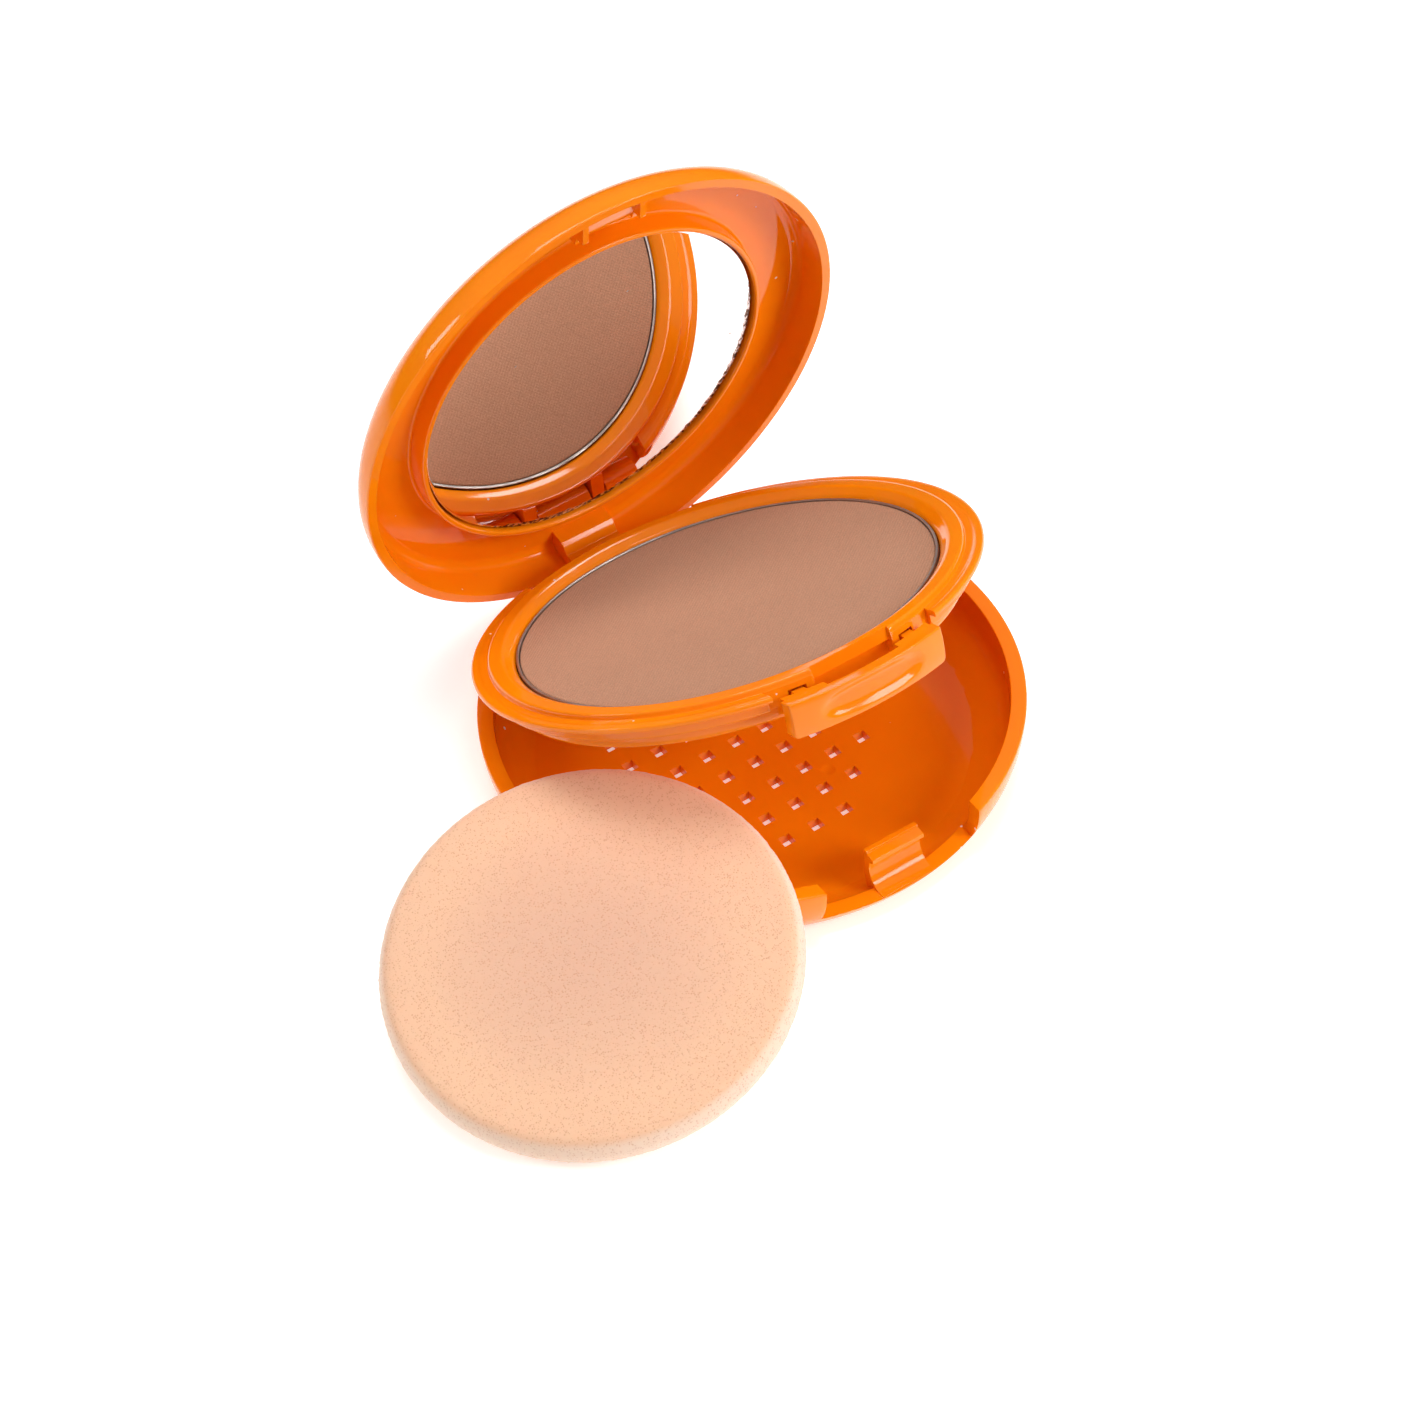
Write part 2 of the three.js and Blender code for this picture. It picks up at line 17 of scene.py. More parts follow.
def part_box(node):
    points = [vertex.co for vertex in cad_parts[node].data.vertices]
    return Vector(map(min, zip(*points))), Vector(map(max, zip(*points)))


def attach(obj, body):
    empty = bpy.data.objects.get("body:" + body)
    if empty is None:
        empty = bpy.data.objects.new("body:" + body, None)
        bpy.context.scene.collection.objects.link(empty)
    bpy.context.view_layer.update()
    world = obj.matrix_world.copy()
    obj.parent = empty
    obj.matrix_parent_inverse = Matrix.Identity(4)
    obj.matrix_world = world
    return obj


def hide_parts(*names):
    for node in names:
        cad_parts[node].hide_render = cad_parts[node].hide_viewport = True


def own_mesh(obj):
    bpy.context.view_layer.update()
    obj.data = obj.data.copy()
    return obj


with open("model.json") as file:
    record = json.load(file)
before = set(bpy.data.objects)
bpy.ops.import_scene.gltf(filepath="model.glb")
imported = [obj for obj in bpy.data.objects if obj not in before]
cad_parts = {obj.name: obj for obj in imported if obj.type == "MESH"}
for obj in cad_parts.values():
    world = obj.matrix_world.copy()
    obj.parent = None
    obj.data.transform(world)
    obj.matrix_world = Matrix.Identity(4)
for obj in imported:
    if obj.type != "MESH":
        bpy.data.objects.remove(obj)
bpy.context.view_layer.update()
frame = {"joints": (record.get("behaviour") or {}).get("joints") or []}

bl_info = {
    "name": "Powder Compact",
    "version": (1, 0, 0),
    "blender": (4, 5, 0),
    "location": "3D Viewport > Sidebar > Compact",
    "description": "Builds a powder compact with a vented sponge well, a mirror and a sponge",
    "category": "Add Mesh",
}

MM = 0.001
UNITLESS = ("vent_reach", "round_steps")
JOINTS = {joint["name"]: joint for joint in frame["joints"]}


# --- Sizes that come from the frame, in metres ---------------------------
def width_of(node):
    low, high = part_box(node)
    return high.x - low.x


def middle_of(node):
    low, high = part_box(node)
    return (low + high) / 2


HINGE = Vector(JOINTS["tray_hinge"]["pos_m"])
TRAY_OPEN = -JOINTS["tray_hinge"]["range_deg"][0]
LID_OPEN = TRAY_OPEN - JOINTS["lid_hinge"]["range_deg"][0]
BASE_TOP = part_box("base_shell")[1].z


def length(name, description, default):
    return FloatProperty(
        name=name, description=description, default=default, unit="LENGTH", precision=5
    )


def swatch(name, description, default):
    return FloatVectorProperty(
        name=name, description=description, default=default, subtype="COLOR", min=0, max=1
    )


class CompactSizes(bpy.types.PropertyGroup):
    """Sizes of the case and of what it holds"""

    case_radius: length("Case radius", "Outline of the closed case", width_of("base_shell") / 2)
    base_height: length("Base height", "Table to the base's rim", BASE_TOP)
    rim_width: length("Rim width", "Thickness of the base's wall at its rim", 2.2 * MM)
    floor_thickness: length("Floor", "Thickness of the base's floor", 1.5 * MM)
    vent_side: length("Vent side", "Side of a square vent hole", 1.7 * MM)
    vent_pitch: length("Vent pitch", "Distance between vent holes", 4.78 * MM)
    flange_radius: length("Tray radius", "Outline of the tray", width_of("tray") / 2)
    pan_radius: length("Pan radius", "Outline of the powder pan", width_of("powder_pan") / 2)
    powder_radius: length("Powder radius", "Outline of the powder", width_of("pressed_powder") / 2)
    button_width: length("Button width", "Push button, side to side", width_of("push_button"))
    mirror_radius: length("Mirror radius", "Outline of the mirror", width_of("mirror") / 2)
    lid_height: length("Lid height", "Lid's rim to its top", 7.2 * MM)
    sponge_radius: length("Sponge radius", "Outline of the sponge", 27.9 * MM)
    sponge_thickness: length("Sponge thickness", "Thickness of the sponge", 6 * MM)
    vent_reach: FloatProperty(
        name="Vent reach", description="Radius of the vent pattern, in pitches", default=4.2
    )
    round_steps: IntProperty(
        name="Round steps", description="Facets round each turned piece", default=192, min=48
    )


class CompactColours(bpy.types.PropertyGroup):
    """Colours of the case and of what it holds"""

    plastic: swatch("Plastic", "Moulded shells", (0.95, 0.245, 0.002))
    powder: swatch("Powder", "Pressed powder", (0.5, 0.252, 0.15))
    tin: swatch("Pan", "Sheet metal of the pan", (0.5, 0.44, 0.4))
    sponge: swatch("Sponge", "Face of the sponge", (0.84, 0.51, 0.325))
    # The edge colour is paler than the face: a painted highlight along the sponge's rounded cut
    # edge.
    sponge_edge_highlight: swatch("Sponge edge", "Cut edge of the sponge", (0.86, 0.62, 0.47))
    floor: swatch("Floor", "Table under the compact", (0.93, 0.93, 0.93))


def keys_of(group):
    return [key for key in group.bl_rna.properties.keys() if key not in ("rna_type", "name")]


def millimetres():
    """The scene's sizes as plain numbers, the lengths in millimetres."""
    group = bpy.context.scene.compact_sizes
    made = {key: getattr(group, key) for key in keys_of(group)}
    return {key: made[key] if key in UNITLESS else made[key] / MM for key in made}


# --- Fixed sizes, in millimetres -----------------------------------------
GAP = 0.15
LID_RIM = BASE_TOP / MM + GAP
FLANGE_BOTTOM = LID_RIM
FLANGE_TOP = FLANGE_BOTTOM + 0.9
TRAY_BOTTOM = FLANGE_BOTTOM - 4.15
WELL_FLOOR = TRAY_BOTTOM + 1
PAN_BOTTOM = WELL_FLOOR + 0.75
RING_RADIUS = 33.3
WELL_RADIUS = 29.65
FLOOR_RADIUS = 30.2
SILL = 3.2
CUTOUT = 12.35
BACK_NOTCH = 16
TONGUE_ROOM = 6.1
HINGE_Y = HINGE.y / MM
HINGE_Z = HINGE.z / MM
KNUCKLE = 2.3
PIN_RADIUS = 0.8
HOLE_RADIUS = PIN_RADIUS + 0.1
KNUCKLE_GAP = 0.35
LID_KNUCKLE_HALF = 4.3
ARM_WIDTH = 2
ARM_START = LID_KNUCKLE_HALF + KNUCKLE_GAP
ARM_END = ARM_START + ARM_WIDTH
BARREL_START = ARM_END + KNUCKLE_GAP
BARREL_END = BARREL_START + 5.6
LID_WALL = 1.7
BUTTON_DROP = 0.1
VENT_CENTRE = (-2.4, 0.8, -1)
VENT_DRAFT = 1.05
CLOTH_PITCH = 0.58
SPONGE_LEAN = 14.47  # degrees, from the table up to the rim
SPONGE_HEADING = 218.5  # degrees, the way that its face leans
EDGE = 0.09  # rounding of an outer edge
PAD_EDGE = 0.04
CREASE = 32  # degrees, from which an edge is sharp
BEYOND = 5  # how far a cutter reaches past the case
ABOVE = 20  # higher than the closed case


def side_radius(z, sizes):
    """Outer side of the base, which the button follows too."""
    share = max(0.0, 1 - z / sizes["base_height"])
    return sizes["case_radius"] - 3.7 * share**2.2


# --- Mesh toolbox --------------------------------------------------------
def softened(corners, steps=5):
    """Profile points; a corner given as (r, z, reach) becomes a curve."""
    points = []
    for i, corner in enumerate(corners):
        here = Vector(corner[:2])
        if len(corner) == 2:
            points.append(tuple(here))
            continue
        before = Vector(corners[i - 1][:2]) - here
        after = Vector(corners[(i + 1) % len(corners)][:2]) - here
        reach = min(corner[2], before.length * 0.49, after.length * 0.49)
        start = here + before.normalized() * reach
        end = here + after.normalized() * reach
        for k in range(steps + 1):
            t = k / steps
            bend = start * (1 - t) ** 2 + here * 2 * t * (1 - t) + end * t**2
            points.append(tuple(bend))
    return points


def piece(name, bm):
    mesh = bpy.data.meshes.new(name)
    bm.to_mesh(mesh)
    bm.free()
    made = bpy.data.objects.new(name, mesh)
    bpy.context.scene.collection.objects.link(made)
    return made


def circle(radius, steps):
    turns = [2 * math.pi * i / steps for i in range(steps)]
    return [(radius * math.cos(a), radius * math.sin(a)) for a in turns]


def turned(name, profile, steps):
    """Solid of revolution. The profile goes from the underside, outwards, to the top."""
    bm = bmesh.new()
    rings = []
    for radius, z in profile:
        ring = circle(radius, steps) if radius > 1e-6 else [(0, 0)]
        rings.append([bm.verts.new((x, y, z)) for x, y in ring])
    for low, high in zip(rings, rings[1:]):
        for i in range(steps):
            j = (i + 1) % steps
            corners = (low[i % len(low)], low[j % len(low)], high[j % len(high)])
            bm.faces.new(dict.fromkeys((*corners, high[i % len(high)])))
    bmesh.ops.remove_doubles(bm, verts=bm.verts, dist=1e-5)
    return piece(name, bm)


def disc(name, radius, low, high, steps):
    return turned(name, [(0, low), (radius, low), (radius, high), (0, high)], steps)


def round_off(bm, edges, reach, segments=2):
    rounding = {"offset": reach, "segments": segments, "profile": 0.5, "affect": "EDGES"}
    bmesh.ops.bevel(bm, geom=edges, **rounding)


def sharp_edges(bm):
    limit = math.radians(30)
    return [e for e in bm.edges if e.is_manifold and e.calc_face_angle() > limit]


def bar_along_x(name, outline, from_x, to_x, reach=0.0):
    """Bar with its outline drawn in Y and Z."""
    bm = bmesh.new()
    near = bm.faces.new([bm.verts.new((from_x, y, z)) for y, z in outline])
    grown = bmesh.ops.extrude_face_region(bm, geom=[near])
    moved = [g for g in grown["geom"] if isinstance(g, bmesh.types.BMVert)]
    bmesh.ops.translate(bm, verts=moved, vec=(to_x - from_x, 0, 0))
    bmesh.ops.recalc_face_normals(bm, faces=bm.faces)
    if reach:
        round_off(bm, sharp_edges(bm), reach)
    return piece(name, bm)


def block(name, low, high, reach=0.0):
    (x0, y0, z0), (x1, y1, z1) = low, high
    return bar_along_x(name, [(y0, z0), (y1, z0), (y1, z1), (y0, z1)], x0, x1, reach)


def rod(name, from_x, to_x, radius, steps=32):
    """Round bar on the hinge's axis."""
    outline = [(HINGE_Y + y, HINGE_Z + z) for y, z in circle(radius, steps)]
    return bar_along_x(name, outline, from_x, to_x)


def knuckle_arc(start, end, steps=16):
    turns = [math.radians(start + (end - start) * i / steps) for i in range(steps + 1)]
    return [(HINGE_Y + KNUCKLE * math.cos(a), HINGE_Z + KNUCKLE * math.sin(a)) for a in turns]


def bake(made):
    """Puts the modifiers' result into a plain mesh."""
    evaluated = made.evaluated_get(bpy.context.evaluated_depsgraph_get())
    mesh = bpy.data.meshes.new_from_object(evaluated)
    made.modifiers.clear()
    made.data = mesh
    return made


def combine(target, tool, operation="DIFFERENCE"):
    """Cuts target with tool, or joins the two, and removes tool."""
    change = target.modifiers.new(operation, "BOOLEAN")
    change.object = tool
    change.operation = operation
    change.solver = "MANIFOLD"
    bake(target)
    bpy.data.objects.remove(tool)
    if not target.data.polygons:
        raise RuntimeError(f"{target.name} is empty after {operation}")
    return target


def join(target, *tools):
    for tool in tools:
        combine(target, tool, "UNION")
    return target


def cut(target, *tools):
    for tool in tools:
        combine(target, tool)
    return target


def swing(made, degrees):
    """Turns a piece drawn in the closed case up about the hinge."""
    centre = Matrix.Translation((0, HINGE_Y, HINGE_Z))
    turn = Matrix.Rotation(-math.radians(degrees), 4, "X")
    made.data.transform(centre @ turn @ centre.inverted())
    return made


def eased(made, edge):
    """Rounds the sharp outer edges of a piece."""
    bm = bmesh.new()
    bm.from_mesh(made.data)
    bmesh.ops.remove_doubles(bm, verts=bm.verts, dist=0.01)
    flat, limit = math.radians(0.2), math.radians(CREASE)
    bmesh.ops.dissolve_limit(bm, angle_limit=flat, verts=bm.verts, edges=bm.edges)
    found = [e for e in bm.edges if e.is_manifold and e.calc_face_angle_signed() > limit]
    round_off(bm, [e for e in found if e.calc_length() > edge], edge)
    bmesh.ops.triangulate(bm, faces=[f for f in bm.faces if len(f.verts) > 4])
    bm.to_mesh(made.data)
    bm.free()
    return made


def finished(made, angle=CREASE):
    """Smooths the round faces and brings the piece to metres."""
    made.data.transform(Matrix.Scale(MM, 4))
    made.data.shade_smooth()
    made.data.set_sharp_from_angle(angle=math.radians(angle))
    weighting = made.modifiers.new("Normals", "WEIGHTED_NORMAL")
    weighting.keep_sharp = True
    bake(made)
    return made


def dress(made, material, body, slot, *nodes):
    """Gives a finished piece its material and its place in the frame."""
    made.data.materials.clear()
    made.data.materials.append(material)
    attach(made, body)
    if nodes:
        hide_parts(*nodes)
    return made


# --- Shader toolbox ------------------------------------------------------
def feed(made, inputs):
    """Links the sockets among the inputs, and sets the plain values."""
    for key, value in inputs.items():
        if isinstance(value, bpy.types.NodeSocket):
            made.id_data.links.new(value, made.inputs[key])
        else:
            made.inputs[key].default_value = value


def put(tree, kind, inputs=None, family="ShaderNode", **settings):
    made = tree.nodes.new(family + kind)
    for key, value in settings.items():
        setattr(made, key, value)
    feed(made, inputs or {})
    return made


def maths(tree, operation, *values, clamp=False):
    made = put(tree, "Math", dict(enumerate(values)), operation=operation, use_clamp=clamp)
    return made.outputs[0]


def ramp(tree, value, low, high, to_low=0.0, to_high=1.0):
    inputs = {"Value": value, "From Min": low, "From Max": high}
    inputs |= {"To Min": to_low, "To Max": to_high}
    return put(tree, "MapRange", inputs, interpolation_type="SMOOTHSTEP").outputs[0]


def blend_colour(tree, share, first, second, mode="MIX"):
    inputs = {0: share, 6: first, 7: second}
    return put(tree, "Mix", inputs, data_type="RGBA", blend_type=mode).outputs[2]


def new_socket(tree, label, kind="Float", way="INPUT"):
    return tree.interface.new_socket(label, in_out=way, socket_type="NodeSocket" + kind)


def shader_group(name, inputs, outputs, fill):
    """A node group, made once. fill(tree, inputs) returns its output sockets by name."""
    if name in bpy.data.node_groups:
        return bpy.data.node_groups[name]
    tree = bpy.data.node_groups.new(name, "ShaderNodeTree")
    new_socket(tree, "Vector", "Vector")
    for label, default in inputs.items():
        new_socket(tree, label).default_value = default
    for label in outputs:
        new_socket(tree, label, way="OUTPUT")
    entry = tree.nodes.new("NodeGroupInput")
    leave = tree.nodes.new("NodeGroupOutput")
    feed(leave, fill(tree, entry.outputs))
    return tree


def use_group(tree, group, place, **values):
    made = tree.nodes.new("ShaderNodeGroup")
    made.node_tree = group
    feed(made, {"Vector": place, **values})
    return made.outputs


def noise_node(tree, vector, scale, detail=3.0, rough=0.5):
    inputs = {"Vector": vector, "Scale": scale, "Detail": detail, "Roughness": rough}
    return put(tree, "TexNoise", inputs).outputs["Fac"]


def cells_node(tree, entry):
    """Scattered cells: their distances, and two random shares for each."""
    inputs = {"Vector": entry["Vector"], "Scale": entry["Scale"], "Randomness": 1.0}
    cells = put(tree, "TexVoronoi", inputs).outputs
    picked = put(tree, "SeparateColor", {0: cells["Color"]}).outputs
    return cells["Distance"], picked[0], picked[1]


def dust(tree, place, scale, patch, amount):
    """Sparse pale flecks, gathered in patches, as a mask."""

    def fill(tree, entry):
        distance, draw, spread = cells_node(tree, entry)
        patches = noise_node(tree, entry["Vector"], entry["Patch"], 2.0)
        chance = maths(tree, "MULTIPLY", entry["Amount"], ramp(tree, patches, 0.45, 0.7))
        kept = maths(tree, "LESS_THAN", draw, chance)
        size = maths(tree, "MULTIPLY_ADD", spread, 0.22, 0.05)
        spot = maths(tree, "SUBTRACT", size, distance)
        mask = ramp(tree, spot, 0.0, 0.06)
        return {"Mask": maths(tree, "MULTIPLY", mask, kept)}

    inputs = {"Scale": 1500.0, "Patch": 60.0, "Amount": 0.1}
    group = shader_group("Dust flecks", inputs, ["Mask"], fill)
    return use_group(tree, group, place, Scale=scale, Patch=patch, Amount=amount)["Mask"]


def grain(tree, place, fine, broad):
    """Two sizes of soft unevenness, as a height and as the broad one's share."""

    def fill(tree, entry):
        small = noise_node(tree, entry["Vector"], entry["Fine"], 4.0, 0.6)
        large = noise_node(tree, entry["Vector"], entry["Broad"], 2.0)
        both = maths(tree, "MULTIPLY_ADD", small, entry["Fine share"], large)
        return {"Height": both, "Broad": ramp(tree, large, 0.3, 0.7)}

    inputs = {"Fine": 900.0, "Broad": 60.0, "Fine share": 0.1}
    group = shader_group("Grain", inputs, ["Height", "Broad"], fill)
    made = use_group(tree, group, place, Fine=fine, Broad=broad)
    return made["Height"], made["Broad"]


def pores(tree, place, scale, size):
    """Open foam cells of one size, as a mask and a depth."""

    def fill(tree, entry):
        distance, draw, _ = cells_node(tree, entry)
        reach = maths(tree, "MULTIPLY_ADD", draw, entry["Spread"], entry["Size"])
        mask = ramp(tree, maths(tree, "SUBTRACT", reach, distance), 0.0, 0.18)
        return {"Mask": mask, "Depth": maths(tree, "MULTIPLY", mask, -1.0)}

    inputs = {"Scale": 2000.0, "Size": 0.1, "Spread": 0.42}
    group = shader_group("Foam pores", inputs, ["Mask", "Depth"], fill)
    made = use_group(tree, group, place, Scale=scale, Size=size)
    return made["Mask"], made["Depth"]


def cloth_print(tree, place, turns):
    """The weave that the pressing cloth leaves: crossed ribs, as a height."""

    def fill(tree, entry):
        apart = put(tree, "SeparateXYZ", {0: entry["Vector"]}).outputs
        ribs = []
        for axis in (0, 1):
            turn = maths(tree, "MULTIPLY", apart[axis], entry["Turns"])
            ribs.append(maths(tree, "SINE", turn))
        return {"Height": maths(tree, "MULTIPLY", *ribs)}

    group = shader_group("Cloth print", {"Turns": 15.0}, ["Height"], fill)
    return use_group(tree, group, place, Turns=turns)["Height"]


def new_material(name):
    """A material, with its tree, its shader and the piece's own coordinates."""
    made = bpy.data.materials.new(name)
    made.use_nodes = True
    tree = made.node_tree
    tree.nodes.clear()
    shader = put(tree, "BsdfPrincipled")
    put(tree, "OutputMaterial", {0: shader.outputs[0]})
    return made, tree, shader, put(tree, "TexCoord").outputs["Object"]


def settle(shader, **values):
    feed(shader, {key.replace("_", " "): value for key, value in values.items()})


def bump(tree, height, strength, distance):
    inputs = {"Height": height, "Strength": strength, "Distance": distance}
    return put(tree, "Bump", inputs).outputs[0]


def attribute(tree, name):
    return put(tree, "Attribute", attribute_name=name).outputs["Fac"]


def colour(name):
    return (*getattr(bpy.context.scene.compact_colours, name), 1.0)


def darker(base, share):
    return (*(channel * share for channel in base[:3]), 1.0)


def made_once(build):
    """Keeps one material for every piece that asks for it."""
    kept = {}

    def ask():
        if "made" not in kept:
            kept["made"] = build()
        return kept["made"]

    return ask


@made_once
def moulded_plastic():
    made, tree, shader, place = new_material("Moulded plastic")
    height, broad = grain(tree, place, 700.0, 45.0)
    flecks = dust(tree, place, 900.0, 70.0, 0.05)
    base = colour("plastic")
    deep = (base[0] * 0.93, base[1] * 0.86, base[2], 1.0)
    body = blend_colour(tree, broad, base, deep)
    worn = ramp(tree, broad, 0.0, 1.0, 0.05, 0.09)
    settle(
        shader,
        Base_Color=blend_colour(tree, flecks, body, (0.9, 0.72, 0.6, 1.0)),
        Roughness=maths(tree, "MULTIPLY_ADD", flecks, 0.5, worn),
        IOR=1.5,
        Specular_IOR_Level=0.32,
        Subsurface_Weight=0.18,
        Subsurface_Scale=0.0012,
        Subsurface_Radius=(1.0, 0.35, 0.08),
        Normal=bump(tree, height, 0.015, 0.0002),
    )
    return made


@made_once
def drawn_steel():
    made, tree, shader, place = new_material("Drawn steel")
    height, broad = grain(tree, place, 4000.0, 300.0)
    settle(shader, Base_Color=(0.6, 0.6, 0.62, 1.0), Metallic=1.0)
    settle(shader, Roughness=ramp(tree, broad, 0.0, 1.0, 0.22, 0.38))
    settle(shader, Normal=bump(tree, height, 0.1, 0.0001))
    return made


@made_once
def pressed_tin():
    made, tree, shader, place = new_material("Pressed tin")
    height, broad = grain(tree, place, 2500.0, 160.0)
    flecks = dust(tree, place, 2200.0, 200.0, 0.8)
    base = colour("tin")
    sheet = blend_colour(tree, broad, base, darker(base, 0.72))
    settle(
        shader,
        Base_Color=blend_colour(tree, flecks, sheet, colour("powder")),
        Roughness=ramp(tree, broad, 0.0, 1.0, 0.4, 0.55),
        Metallic=maths(tree, "SUBTRACT", 1.0, flecks),
        Normal=bump(tree, height, 0.15, 0.0001),
    )
    return made


@made_once
def pressed_talc():
    made, tree, shader, place = new_material("Pressed talc")
    surface = put(tree, "UVMap", uv_map="Surface").outputs["UV"]
    cloth = cloth_print(tree, surface, 2 * math.pi / CLOTH_PITCH)
    broad = grain(tree, place, 9000.0, 70.0)[1]
    base = colour("powder")
    body = blend_colour(tree, broad, base, darker(base, 0.96))
    fade = ramp(tree, cloth, -1.0, 1.0, 0.0, 0.5)
    printed = blend_colour(tree, fade, body, darker(base, 0.7))
    fine = noise_node(tree, place, 5200.0, 2.0)
    speck = ramp(tree, fine, 0.35, 0.65, 0.9, 1.1)
    grey = put(tree, "CombineColor", {0: speck, 1: speck, 2: speck}).outputs[0]
    settle(
        shader,
        Base_Color=blend_colour(tree, 1.0, printed, grey, "MULTIPLY"),
        Roughness=0.95,
        Sheen_Weight=0.08,
        Sheen_Roughness=0.5,
        Specular_IOR_Level=0.25,
        Normal=bump(tree, maths(tree, "ADD", cloth, fine), 0.5, 0.00006),
    )
    return made


@made_once
def silvered_glass():
    made, tree, shader, place = new_material("Silvered glass")
    flakes = noise_node(tree, place, 700.0, 6.0, 0.75)
    unevenness = maths(tree, "SUBTRACT", flakes, 0.5)
    torn = maths(tree, "MULTIPLY_ADD", unevenness, 0.9, attribute(tree, "rim"))
    reach = ramp(tree, attribute(tree, "low side"), 0.1, 0.7, 1.3, 0.5)
    edge = ramp(tree, maths(tree, "SUBTRACT", torn, reach), 0.0, 0.05)
    streak = ramp(tree, noise_node(tree, place, 1600.0, 3.0), 0.42, 0.56)
    brown = blend_colour(tree, streak, (0.10, 0.055, 0.03, 1.0), (0.75, 0.72, 0.7, 1.0))
    flecks = dust(tree, place, 1300.0, 90.0, 0.03)
    clear = blend_colour(tree, flecks, (0.97, 0.97, 0.97, 1.0), (0.6, 0.55, 0.52, 1.0))
    dull = maths(tree, "MULTIPLY_ADD", edge, 0.25, 0.01)
    settle(
        shader,
        Base_Color=blend_colour(tree, edge, clear, brown),
        Roughness=maths(tree, "MULTIPLY_ADD", flecks, 0.5, dull),
        Metallic=1.0,
        Normal=bump(tree, maths(tree, "MULTIPLY", edge, streak), 0.4, 0.0001),
    )
    return made


@made_once
def adhesive_film():
    made, tree, shader, place = new_material("Adhesive film")
    height, broad = grain(tree, place, 1800.0, 200.0)
    film = blend_colour(tree, broad, (0.8, 0.78, 0.72, 1.0), (0.68, 0.65, 0.58, 1.0))
    settle(shader, Base_Color=film, Roughness=0.7, Normal=bump(tree, height, 0.3, 0.0001))
    return made


@made_once
def latex_foam():
    made, tree, shader, place = new_material("Latex foam")
    fine, fine_depth = pores(tree, place, 3600.0, 0.12)
    large, large_depth = pores(tree, place, 1500.0, -0.2)
    height, broad = grain(tree, place, 5000.0, 38.0)
    face = colour("sponge")
    used = (face[0] * 0.86, face[1] * 0.84, face[2] * 0.92, 1.0)
    patchy = maths(tree, "MULTIPLY_ADD", broad, 0.25, attribute(tree, "worn"))
    body = blend_colour(tree, maths(tree, "MULTIPLY", patchy, 0.9, clamp=True), face, used)
    # Painted highlight: the cut edge is blended towards a colour paler than the face.
    painted_edge_highlight = ramp(tree, attribute(tree, "rim"), 0.25, 0.75)
    shade = blend_colour(tree, painted_edge_highlight, body, colour("sponge_edge_highlight"))
    # Painted shade: the pores are blended towards darker colours, standing in for the shade inside
    # the open cells.
    for mask, inside in ((fine, (0.6, 0.27, 0.14, 1.0)), (large, (0.5, 0.24, 0.13, 1.0))):
        shade = blend_colour(tree, maths(tree, "MULTIPLY", mask, 0.5), shade, inside)
    depth = maths(tree, "ADD", fine_depth, large_depth)
    rise = maths(tree, "MULTIPLY_ADD", height, 0.8, depth)
    settle(
        shader,
        Base_Color=shade,
        Roughness=0.9,
        Subsurface_Weight=0.25,
        Subsurface_Scale=0.0012,
        Subsurface_Radius=(1.0, 0.5, 0.3),
        Sheen_Weight=0.25,
        Sheen_Roughness=0.6,
        Specular_IOR_Level=0.2,
        Normal=bump(tree, rise, 0.5, 0.00012),
    )
    return made


@made_once
def table_top():
    made, tree, shader, place = new_material("Table top")
    base = colour("floor")
    paper = blend_colour(tree, grain(tree, place, 200.0, 8.0)[1], base, darker(base, 0.985))
    away = put(tree, "VectorMath", {0: place}, operation="LENGTH").outputs["Value"]
    # Painted falloff of light: the floor's colour darkens away from the compact.
    far = ramp(tree, away, 0.3, 0.9)
    settle(
        shader,
        Base_Color=blend_colour(tree, far, paper, darker(base, 0.3)),
        Roughness=0.8,
        # Painted pool of light: the floor glows near the compact and fades further out, and this
        # glow also lights the compact from below.
        Emission_Color=(1.0, 1.0, 1.0, 1.0),
        Emission_Strength=ramp(tree, away, 0.2, 0.7, 0.42, 0.0),
    )
    return made


# --- Base ----------------------------------------------------------------
def base_bowl(sizes):
    top = sizes["base_height"]
    inner = sizes["case_radius"] - sizes["rim_width"]
    floor = sizes["floor_thickness"]
    heights = [0.35 + (top - 0.9) * i / 18 for i in range(19)]
    outside = [(side_radius(z, sizes), z) for z in heights]
    # The inside curve is an ellipse that meets the floor in a fine crease.
    crease = math.radians(78)
    curve_top = 6.7
    wide = (inner - 0.08 - FLOOR_RADIUS) / (1 - math.cos(crease))
    tall = (curve_top - floor) / math.sin(crease)
    inside = []
    for i in range(17):
        turn = -crease * i / 16
        r = inner - 0.08 - wide + wide * math.cos(turn)
        inside.append((r, curve_top + tall * math.sin(turn)))
    corners = [
        (0, 0),
        (32.6, 0),
        (side_radius(0.1, sizes) - 0.35, 0, 0.25),
        *outside,
        (sizes["case_radius"] - 0.02, top, 0.5),
        (inner, top, 0.15),
        *inside,
        (0, floor),
    ]
    return turned("base_shell_visual", softened(corners), sizes["round_steps"])


